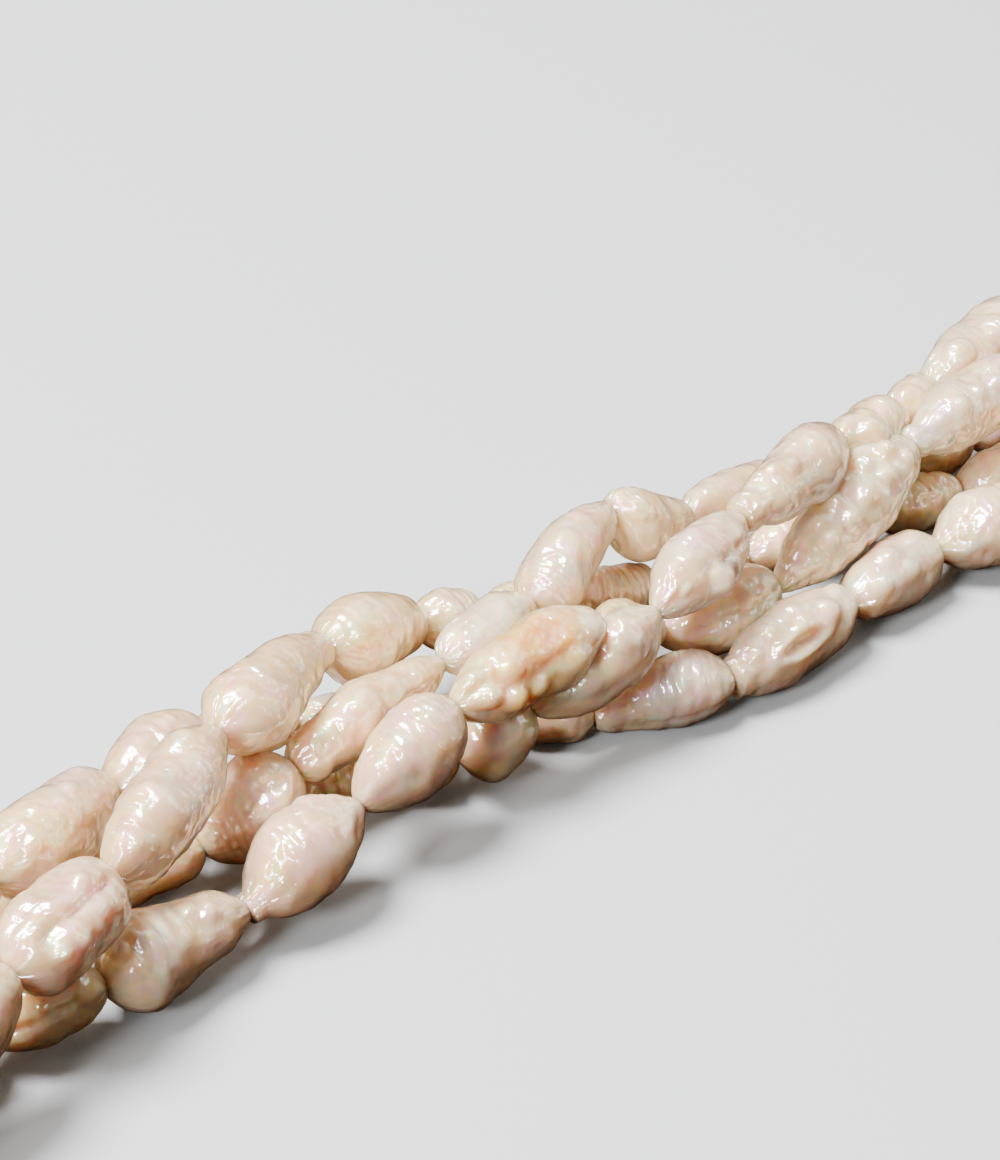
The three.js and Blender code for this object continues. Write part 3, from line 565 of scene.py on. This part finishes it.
        "low": (0.95, 1.05, 1.08, 1.02, 0.95, 0.8), "start": 2.4, "end": 2.8,
        "bumps": ((0.22, 0, 0.5, 0.1), (0.42, 8, 0.45, 0.1), (0.5, 20, 0.45, 0.1),
            (0.62, 32, 0.5, 0.08), (0.12, -22, 0.5, 0.08)),
        "waves": ((3, 5, 0.04, 0.35, 5, 0.3, 50),), "tone": (0.25, 0.1, 0.2),
        "patches": ((0.75, 60, 1.6, (0.78, 0.58, 0.66), 0.5), (0.3, -60, 2, orange, 0.2))},
    (5, 21): {"top": (0.9, 1.05, 1.08, 1.05, 1, 0.85), "low": (0.9, 1.05, 1.08, 1, 1, 0.85),
        "start": 2.8, "bumps": ((0.2, -15, 0.9, 0.25), (0.45, 10, 0.6, 0.15), (0.6, 35, 0.5, 0.1)),
        "waves": ((8, 1, 0.05, 0.6, 20, 0.3, 60),), "tone": (0.35, 0.15, 0.1)},
    (5, 22): {"tone": (0.2, 0.1, 0.3)},
    (5, 23): {"tone": (0, 0.3, 0), "patches": ((0.4, 20, 2.5, bluish, 0.7),)},
    (5, 24): {"tone": (0.1, 0.1, 0.5)},
    # Its brown patch is painted shade on a pearl that lies in shadow.
    (5, 25): {"cells": ((0.7, 0.18, 0.75, 0, 0.3, 150),), "tone": (0.2, 0.3, 0.3),
        "patches": ((0.4, 0, 1.6, paintedShadeBrown, 0.45),)},
    (5, 26): {"pale": 0.5, "top": (0.85, 0.85, 1.05, 1.1, 1.05, 0.95),
        "low": (0.9, 0.85, 0.98, 1.02, 0.98, 0.9), "start": 2.4, "end": 2.8,
        "bulbs": ((0.12, 1.3),),
        "waves": ((9, -4, 0.13, 0.6, 15, 0.24, 45), (14, 2, 0.07, 0.45, 30, 0.25, 50),
            (5, 3, 0.06, 0.6, -50, 0.3, 60)),
        "cells": ((0.5, 0.14, 0.62, 10, 0.22, 45),),
        "creases": ((80, 0.3, 14, 0.18, 0.32, 0), (-50, 0.16, 9, 0.3, 0.95, 6)),
        "tone": (0.2, 0.35, 0),
        "patches": ((0.58, 25, 1.1, bluish, 0.6), (0.68, -2, 1, pinkish, 0.6),
            (0.4, 0, 0.8, bluish, 0.4)),
        "shine": 1},
    (5, 27): {"pale": 0.6, "top": (0.85, 0.95, 1, 1.02, 1.05, 0.95),
        "low": (0.85, 0.88, 0.98, 0.98, 0.92, 0.88), "start": 2.6, "end": 2.4,
        "bulbs": ((0.07, 1.2),), "craters": ((0.42, -8, 1.7, 0.55, 0.62, 0.2),),
        "bumps": ((0.68, 14, 0.8, 0.26), (0.86, 42, 0.85, 0.2), (0.88, 0, 0.8, 0.16),
            (0.3, 42, 0.5, 0.1), (0.5, 46, 0.5, 0.1), (0.13, 20, 0.5, 0.1)),
        "waves": ((13, 1, 0.04, 0.3, 60, 0.22, 40),), "creases": ((30, 0.14, 8, 0.15, 0.7, 25),),
        "tone": (0.1, 0.3, 0.1),
        "patches": ((0.42, -8, 0.6, (0.88, 0.68, 0.36), 0.8), (0.7, 12, 0.8, pinkish, 0.5)),
        "shine": 0.8},
    (5, 28): {"pale": 0.8, "top": (1, 1.05, 1.1, 1.15, 1.15, 1.05),
        "low": (1, 1, 1.05, 1.1, 1.12, 1.05), "start": 2.8, "end": 3.6,
        "creases": ((18, 0.16, 12, 0.1, 0.9, 10), (-28, 0.1, 10, 0.2, 0.9, -8)),
        "bumps": ((0.2, -2, 0.7, 0.14), (0.5, -4, 0.6, 0.12), (0.4, 40, 0.7, 0.12),
            (0.75, 30, 1, 0.12), (0.78, -10, 0.9, 0.1)),
        "tone": (0.2, 0.2, 0.1),
        "patches": ((0.35, -22, 1, silver, 0.5), (0.6, 5, 0.8, silver, 0.35))},
    (5, 29): {"pale": 0.8, "top": (0.7, 1, 1.1, 1.1, 1.1, 1), "low": (0.75, 1, 1.12, 1.1, 1.1, 1),
        "start": 1.9, "cells": ((0.6, 0.24, 0.6, 0, 0.5, 180),),
        "waves": ((6, 1, 0.05, 0.3, 0, 0.2, 100),), "tone": (0.15, 0.15, 0.15)},
}


# A pearl's look away from the front run, drawn from the kinds that such strands have: wrinkled,
# folded, pebbled, hammered, knobbed or nearly smooth.
def drawnLook(rng):
    kind = rng.choice(["wrinkled", "folded", "pebbled", "hammered", "knobbed", "smooth"])
    look = {
        "top": rng.uniform(0.88, 1.12, 6), "low": rng.uniform(0.88, 1.12, 6),
        "start": rng.uniform(1.8, 3.2), "end": rng.uniform(1.8, 3.2),
        "bend": rng.uniform(-0.25, 0.25, 2), "flat": (rng.uniform(0, 180), rng.uniform(0, 0.1)),
        "tone": rng.uniform((0.0, 0.0, 0.0), (0.45, 0.35, 0.3)),
        "shine": rng.uniform(0.3, 0.9),
    }
    spot, turn = rng.uniform(0.3, 0.7), rng.uniform(0, 360)
    bumps = [tuple(rng.uniform(*span) for span in ((0.15, 0.85), (0, 360), (0.6, 1.1), (0.1, 0.3)))
             for _ in range(4)]
    kinds = {
        "wrinkled": {
            "waves": ((rng.uniform(7, 11), rng.integers(-2, 3), 0.1, spot, turn, 0.5, 200),),
        },
        "folded": {
            "creases": ((turn, 0.35, 13, 0.1, 0.9, 20), (turn + 140, 0.25, 12, 0.05, 0.8, -20)),
            "bumps": bumps[:1],
        },
        "pebbled": {"cells": ((0.85, 0.24, spot, turn, 0.6, 240),)},
        "hammered": {"cells": ((1.1, -0.16, spot, turn, 0.6, 240),)},
        "knobbed": {"bumps": bumps, "bulbs": ((rng.choice([0.08, 0.92]), rng.uniform(1.0, 1.3)),)},
        "smooth": {"bumps": bumps[:1], "waves": ((5, 1, 0.05, spot, turn, 0.3, 90),)},
    }
    return {**look, **kinds[kind]}


# Rings with one more at each end, shrunk to a point.
def withTips(first, rings, last):
    ends = [np.repeat(tip[None, None], rings.shape[1], axis=1) for tip in (first, last)]
    return np.concatenate([ends[0], rings, ends[1]])


# A closed grid's values, one for each of its corners: its first and last rows are a point each.
def gridValues(values):
    inner = values[1:-1].reshape(-1, values.shape[-1])
    return np.concatenate([values[:1, 0], inner, values[-1:, 0]])


# The surface of a closed grid, whose columns join round. Each face's corners run so that it faces
# outwards.
def closedGrid(points):
    rows, columns = points.shape[0] - 2, points.shape[1]
    corners = gridValues(points)
    index = 1 + np.arange(rows * columns).reshape(rows, columns)
    turned = np.roll(index, -1, axis=1)
    a, b, c, d = index[:-1], turned[:-1], turned[1:], index[1:]
    firstTip, lastTip = np.zeros(columns, int), np.full(columns, len(corners) - 1)
    triangles = np.concatenate([
        np.stack([firstTip, turned[0], index[0]], axis=-1),
        np.stack([a, b, c], axis=-1).reshape(-1, 3),
        np.stack([a, c, d], axis=-1).reshape(-1, 3),
        np.stack([index[-1], turned[-1], lastTip], axis=-1),
    ])
    return {"corners": corners, "triangles": triangles, "material": 0}


# A new object in the scene.
def addObject(name, data):
    thing = bpy.data.objects.new(name, data)
    bpy.context.scene.collection.objects.link(thing)
    return thing


# A smooth-shaded object of several closed surfaces, each with its material's number, and any
# attributes of its corners.
def meshObject(name, surfaces, materials, attributes=None):
    corners = np.concatenate([s["corners"] for s in surfaces])
    starts = np.cumsum([0] + [len(s["corners"]) for s in surfaces[:-1]])
    triangles = np.concatenate([s["triangles"] + n for s, n in zip(surfaces, starts)])
    numbers = np.concatenate([np.full(len(s["triangles"]), s["material"]) for s in surfaces])
    mesh = bpy.data.meshes.new(name)
    mesh.vertices.add(len(corners))
    mesh.vertices.foreach_set("co", corners.astype(np.float32).ravel())
    mesh.loops.add(triangles.size)
    mesh.loops.foreach_set("vertex_index", triangles.astype(np.int32).ravel())
    mesh.polygons.add(len(triangles))
    mesh.polygons.foreach_set("loop_start", np.arange(0, triangles.size, 3, dtype=np.int32))
    mesh.polygons.foreach_set("material_index", numbers.astype(np.int32))
    mesh.update(calc_edges=True)
    mesh.validate()
    for material in materials:
        mesh.materials.append(material)
    for key, (kind, field, values) in (attributes or {}).items():
        attribute = mesh.attributes.new(key, kind, "POINT")
        attribute.data.foreach_set(field, values.astype(np.float32).ravel())
    mesh.shade_smooth()
    return addObject(name, mesh)


# A new material with its node tree and shader.
def newMaterial(name):
    material = bpy.data.materials.new(name)
    material.use_nodes = True
    tree = material.node_tree
    return material, tree, tree.nodes["Principled BSDF"]


# Values on a node: each is one of its own properties or an input, and an output is linked.
def setNode(node, values):
    for key, value in values.items():
        if isinstance(value, bpy.types.NodeSocket):
            node.id_data.links.new(value, node.inputs[key])
        elif hasattr(node, key):
            setattr(node, key, value)
        else:
            node.inputs[key].default_value = value
    return node


# A new node with its values.
def addNode(tree, kind, values):
    return setNode(tree.nodes.new(kind), values)


# The value of a noise at a place.
def noiseValue(tree, place, scale, detail, roughness=0.5, distortion=0.0):
    return addNode(tree, "ShaderNodeTexNoise", {
        "Vector": place, "Scale": scale, "Detail": detail,
        "Roughness": roughness, "Distortion": distortion,
    }).outputs["Fac"]


# A value from 0 to 1, spread over a range: low + (high - low) v.
def spreadOver(tree, value, low, high):
    settings = {"Value": value, "To Min": low, "To Max": high}
    return addNode(tree, "ShaderNodeMapRange", settings).outputs["Result"]


# The normal of a bump, a height of 0 to 1 times a depth in metres, over another where there is one.
def bumpNormal(tree, height, depth, strength=1.0, under=None):
    settings = {"Height": height, "Distance": depth, "Strength": strength}
    if under:
        settings["Normal"] = under
    return addNode(tree, "ShaderNodeBump", settings).outputs["Normal"]


nacre = {
    "IOR": 2.4, "Subsurface Weight": 1.0, "Subsurface Radius": (1.0, 0.66, 0.42),
    "Subsurface Scale": 1.6 * mm, "Coat Weight": 1.0, "Coat Roughness": 0.19, "Coat IOR": 2.8,
    "Coat Tint": (1.0, 0.93, 0.85, 1.0), "Thin Film IOR": 1.38,
}
# Depths of the bumps are in metres, and the scales of the noises are in waves to a millimetre.
nacreGrain = {
    "wrinkle": 0.28 * mm, "wrinkleScale": (1.6, 0.85, 0.85),  # finer along than round the pearl
    "pebble": 0.26 * mm, "pebbleScale": 2.0,
    "fine": 0.014 * mm, "fineScale": 9.0,
    "zoneScale": 0.42, "zoneEdges": (0.42, 0.62), "zoneLeast": 0.3, "zoneShift": 40,
    "mottleScale": 0.9, "rough": (0.42, 0.62),
    "film": (250.0, 650.0),  # thickness in nanometres
    "tints": (  # where in the mottle, and what the colour is times
        (0.30, (0.93, 1.0, 0.98, 1)), (0.50, (1.0, 0.99, 0.95, 1)), (0.70, (1.0, 0.93, 0.97, 1)),
    ),
}


# Nacre: the colour attribute, mottled a little by noise, over three layers of bump. Wrinkles that
# run round the pearl and small pebbles each come and go in zones, and a fine grain is everywhere.
# Only the coat takes them, since light smooths out inside the nacre. The grain attribute is the
# place on the pearl in millimetres.
def makeNacre():
    material, tree, shader = newMaterial("nacre")
    grain = nacreGrain
    colour = addNode(tree, "ShaderNodeAttribute", {"attribute_name": "nacreColour"})
    place = addNode(tree, "ShaderNodeAttribute", {"attribute_name": "grain"}).outputs["Vector"]

    mottle = noiseValue(tree, place, grain["mottleScale"], 3.0, roughness=0.6)
    tints = addNode(tree, "ShaderNodeValToRGB", {"Fac": mottle})
    stops = tints.color_ramp.elements
    stops.new(grain["tints"][1][0])
    for stop, (position, tint) in zip(stops, grain["tints"]):
        stop.position, stop.color = position, tint
    tinted = addNode(tree, "ShaderNodeMix", {
        "data_type": "RGBA", "blend_type": "MULTIPLY", "Factor": 1.0,
    })
    tree.links.new(colour.outputs["Color"], tinted.inputs[6])
    tree.links.new(tints.outputs["Color"], tinted.inputs[7])

    # A height times a slow noise, cut to a soft window, so that it comes and goes.
    def zoned(height, offset):
        shift = addNode(tree, "ShaderNodeMapping", {"Vector": place, "Location": (offset,) * 3})
        zone = noiseValue(tree, shift.outputs["Vector"], grain["zoneScale"], 1.0)
        low, high = grain["zoneEdges"]
        window = addNode(tree, "ShaderNodeMapRange", {
            "interpolation_type": "SMOOTHSTEP", "Value": zone,
            "From Min": low, "From Max": high, "To Min": grain["zoneLeast"],
        })
        product = addNode(tree, "ShaderNodeMath", {"operation": "MULTIPLY"})
        tree.links.new(height, product.inputs[0])
        tree.links.new(window.outputs["Result"], product.inputs[1])
        return product.outputs["Value"]

    stretch = addNode(tree, "ShaderNodeMapping", {"Vector": place, "Scale": grain["wrinkleScale"]})
    wrinkle = noiseValue(tree, stretch.outputs["Vector"], 1.0, 1.0, roughness=0.4, distortion=0.4)
    pebble = noiseValue(tree, place, grain["pebbleScale"], 0.0)
    fine = noiseValue(tree, place, grain["fineScale"], 2.0)
    normal = None
    for layer, height in (
            ("wrinkle", zoned(wrinkle, 0)), ("pebble", zoned(pebble, grain["zoneShift"])),
            ("fine", fine)):
        normal = bumpNormal(tree, height, grain[layer], under=normal)
    setNode(shader, {
        **nacre, "Base Color": tinted.outputs[2], "Coat Normal": normal,
        "Roughness": spreadOver(tree, mottle, *grain["rough"]),
        "Thin Film Thickness": spreadOver(tree, mottle, *grain["film"]),
    })
    return material


silk = {
    "Base Color": (0.78, 0.74, 0.66, 1), "Roughness": 0.6,
    "Sheen Weight": 0.3, "Sheen Roughness": 0.5,
}
silkTwist = {"bandScale": 2600.0, "bandDepth": 0.04 * mm, "strength": 0.6}


# Silk thread: off-white, with the diagonal bands of its twisted strands as bump.
def makeSilk():
    material, tree, shader = newMaterial("silkThread")
    place = addNode(tree, "ShaderNodeTexCoord", {}).outputs["Object"]
    bands = addNode(tree, "ShaderNodeTexWave", {
        "bands_direction": "DIAGONAL", "Vector": place, "Scale": silkTwist["bandScale"],
        "Distortion": 1.0,
    })
    normal = bumpNormal(tree, bands.outputs["Fac"], silkTwist["bandDepth"], silkTwist["strength"])
    setNode(shader, {**silk, "Normal": normal})
    return material


gold = {"Base Color": (0.98, 0.70, 0.32, 1), "Metallic": 1.0, "Specular IOR Level": 0.6}
goldFinish = {
    "smudgeScale": 420.0, "rough": (0.10, 0.30),
    "hairScale": 2500.0, "hairDepth": 0.01 * mm, "strength": 0.15,
}


# Gold plate: warm, with soft smudges in its gloss and faint hairlines.
def makeGold():
    material, tree, shader = newMaterial("goldPlate")
    place = addNode(tree, "ShaderNodeTexCoord", {}).outputs["Object"]
    smudge = noiseValue(tree, place, goldFinish["smudgeScale"], 4.0)
    hair = noiseValue(tree, place, goldFinish["hairScale"], 2.0)
    setNode(shader, {
        **gold, "Roughness": spreadOver(tree, smudge, *goldFinish["rough"]),
        "Normal": bumpNormal(tree, hair, goldFinish["hairDepth"], goldFinish["strength"]),
    })
    return material


nacreMaterial, silkMaterial, goldMaterial = makeNacre(), makeSilk(), makeGold()
print("materials made")

thread = {"radius": 0.2 * mm, "sides": 8, "shade": 0.75}


# A tube round a path: at each point a ring square to the path's direction, closed at both ends.
def tube(path, radius, sides):
    ways = unit(np.gradient(path, axis=0))
    side = unit(np.cross([0.0, 0.0, 1.0], ways))
    over = np.cross(ways, side)
    angle = np.linspace(0, 2 * np.pi, sides, endpoint=False)[None, :, None]
    rings = path[:, None] + radius * (np.cos(angle) * side[:, None] + np.sin(angle) * over[:, None])
    return withTips(path[0], rings, path[-1])


# One strand in place of its solid: a skin for each pearl, with a look of its own or a drawn one,
# and the thread, from inside one cup through every joint to inside the other. The grain and the
# colour go into attributes.
def makeStrand(number):
    name = "strand_" + str(number)
    rings = ringsOf(name)
    necks, pearls = pearlsOf(number, rings)
    rng = np.random.default_rng(100 + number)
    surfaces, grains, colours = [], [], []
    for i, core in enumerate(pearls):
        drawn = drawnLook(rng)
        shown = shownLooks.get((number, i))
        rows, columns = pearlSkins["shown" if shown else "rest"]
        points, grain, colour = pearlSkin(core, shown or drawn, rows, columns, rng)
        surfaces.append(closedGrid(points))
        grains.append(gridValues(grain))
        colours.append(gridValues(colour))
    line = np.concatenate([rings[:1].mean(axis=1), necks, rings[-1:].mean(axis=1)])
    silkTube = closedGrid(tube(line, thread["radius"], thread["sides"]))
    surfaces.append({**silkTube, "material": 1})
    grains.append(silkTube["corners"] / mm)
    colours.append(np.full(silkTube["corners"].shape, thread["shade"]))
    colours = np.concatenate(colours)
    colours = np.concatenate([colours, np.ones((len(colours), 1))], axis=1)
    piece = meshObject("pearls_" + str(number), surfaces, [nacreMaterial, silkMaterial], {
        "grain": ("FLOAT_VECTOR", "vector", np.concatenate(grains)),
        "nacreColour": ("FLOAT_COLOR", "color", colours),
    })
    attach(piece, "root")
    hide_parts(name)
    print(piece.name, len(pearls), "pearls,", len(piece.data.polygons), "triangles")


for number in (1, 2, 3, 4, 5):
    makeStrand(number)

clasp = {
    "half": 13 * mm, "radius": 4.9 * mm, "waist": 3.1 * mm,
    "cupDepth": 3.2 * mm, "cupWall": 0.6 * mm,
    "seamDepth": 0.10 * mm, "seamWidth": 0.12 * mm, "columns": 128,
}


# The clasp's outline, from the middle of one cup's floor, out over the barrel, to the other's:
# points (distance from the axis, place along it), rounded by cutting every corner twice. The
# barrel's and the neck's points are given as (share of the radius or waist, place in millimetres).
def claspOutline():
    half, radius, waist = clasp["half"], clasp["radius"], clasp["waist"]
    floor, wall = half - clasp["cupDepth"], clasp["cupWall"]
    barrel = ((0.985, 0), (0.985, 1.6), (1, 2), (1, 4.6), (0.97, 5.4), (0.9, 5.95))
    neck = ((1.22, 6.2), (1.05, 6.7), (1, 7.3), (1, 8.3), (1.15, 8.9), (1.28, 9.6))
    cup = [
        (radius * 0.86, floor + 1.3 * mm), (radius * 0.89, half - 0.8 * mm),
        (radius * 0.93, half - 0.6 * mm), (radius * 0.94, half - 0.2 * mm), (radius * 0.91, half),
        (radius * 0.9 - wall, half - 0.05 * mm), (radius * 0.86 - wall, floor + 1.6 * mm),
        (waist - 0.5 * wall, floor + 0.2 * mm), (waist - wall, floor), (0.6 * waist, floor),
    ]
    right = [(radius * share, place * mm) for share, place in barrel]
    right += [(waist * share, place * mm) for share, place in neck] + cup
    line = np.array([(r, -a) for r, a in reversed(right[1:])] + right)
    for _ in range(2):
        near, far = 0.75 * line[:-1] + 0.25 * line[1:], 0.25 * line[:-1] + 0.75 * line[1:]
        cut = np.stack([near, far], axis=1).reshape(-1, 2)
        line = np.concatenate([line[:1], cut, line[-1:]])
    return line


# The lathed clasp: the outline turned round the axis, with a fine groove where its halves meet.
def claspSurface(centre):
    line = claspOutline()
    radius, place = line[:, 0][:, None], line[:, 1][:, None]
    radius = radius - clasp["seamDepth"] * bell(place, clasp["seamWidth"])
    angle = np.linspace(0, 2 * np.pi, clasp["columns"], endpoint=False)[None, :]
    sides = [place + 0 * angle, radius * np.cos(angle), radius * np.sin(angle)]
    points = centre + np.stack(sides, axis=-1)
    tips = [centre + np.array([line[i, 1], 0, 0]) for i in (0, -1)]
    return withTips(tips[0], points, tips[1])


claspLow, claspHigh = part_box("clasp")
claspCentre = 0.5 * (np.array(claspLow) + np.array(claspHigh))
claspPiece = meshObject("barrelClasp", [closedGrid(claspSurface(claspCentre))], [goldMaterial])
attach(claspPiece, "root")
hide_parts("clasp")
print("clasp made,", len(claspPiece.data.polygons), "triangles")


# A level square. The pale floor is what the camera sees, and a dark sheet just under it is what the
# pearls see: painted shade, so that their undersides stay as dark as they are over a dark cloth.
def makeLevel(name, height, colour):
    half = 0.5 * studio["floorSize"]
    mesh = bpy.data.meshes.new(name)
    corners = [(-half, -half, 0), (half, -half, 0), (half, half, 0), (-half, half, 0)]
    mesh.from_pydata(corners, [], [(0, 1, 2, 3)])
    material, tree, shader = newMaterial(name)
    setNode(shader, {
        "Base Color": (*colour, 1), "Roughness": studio["roughness"],
        "Specular IOR Level": studio["gloss"],
    })
    mesh.materials.append(material)
    level = addObject(name, mesh)
    level.location.z = height
    return level


# For each lamp: its direction in the camera's own directions (right, up, back towards the camera),
# its distance and size in metres, its power in watts and its colour.
lamps = {
    "keyLamp": ((-0.42, 0.70, 0.58), 0.55, 0.25, 13.0, (0.97, 0.985, 1.0)),
    "lowLamp": ((-0.45, 0.02, 0.89), 0.55, 0.13, 3.0, (0.95, 0.98, 1.0)),
    "overLamp": ((0.1, 0.97, 0.2), 0.6, 0.6, 1.5, (1.0, 0.99, 0.97)),
    "sideLamp": ((0.9, 0.6, 0.2), 0.6, 0.3, 0.6, (1.0, 0.97, 0.94)),
}


# A soft round lamp that faces the front of the rope.
def addLamp(name, way, distance, size, power, colour):
    direction = unit(np.array(way) @ np.stack([viewRight, viewUp, viewBack]))
    lamp = bpy.data.lights.new(name, "AREA")
    lamp.shape, lamp.size, lamp.energy, lamp.color = "DISK", size, power, colour
    holder = addObject(name, lamp)
    holder.location = frontMiddle + direction * distance
    holder.rotation_euler = Vector(direction).to_track_quat("Z", "Y").to_euler()


floor = makeLevel("floor", 0.0, studio["floorColour"])
# The floor is left out of the pearls' bounce light and reflections, so they see the dark sheet
# below.
floor.visible_diffuse = floor.visible_glossy = False
makeLevel("shadeSheet", -studio["shadeSheetDrop"], studio["shadeSheetColour"])
world = bpy.data.worlds.new("softSky")
world.use_nodes = True
sky = world.node_tree.nodes["Background"]
setNode(sky, {"Color": (*studio["skyColour"], 1), "Strength": studio["skyStrength"]})
bpy.context.scene.world = world
for name, settings in lamps.items():
    addLamp(name, *settings)

cameraData = bpy.data.cameras.new("camera")
cameraData.lens, cameraData.sensor_width = studio["lens"], studio["sensor"]
cameraData.clip_start, cameraData.clip_end = studio["clip"]
camera = addObject("camera", cameraData)
cameraPlace = frontMiddle + viewUp * studio["rise"] + viewBack * studio["distance"]
cameraTurn = np.stack([viewRight, viewUp, viewBack], axis=1)
camera.matrix_world = Matrix([[*cameraTurn[i], cameraPlace[i]] for i in range(3)] + [[0, 0, 0, 1]])
bpy.context.scene.camera = camera
print("studio made")
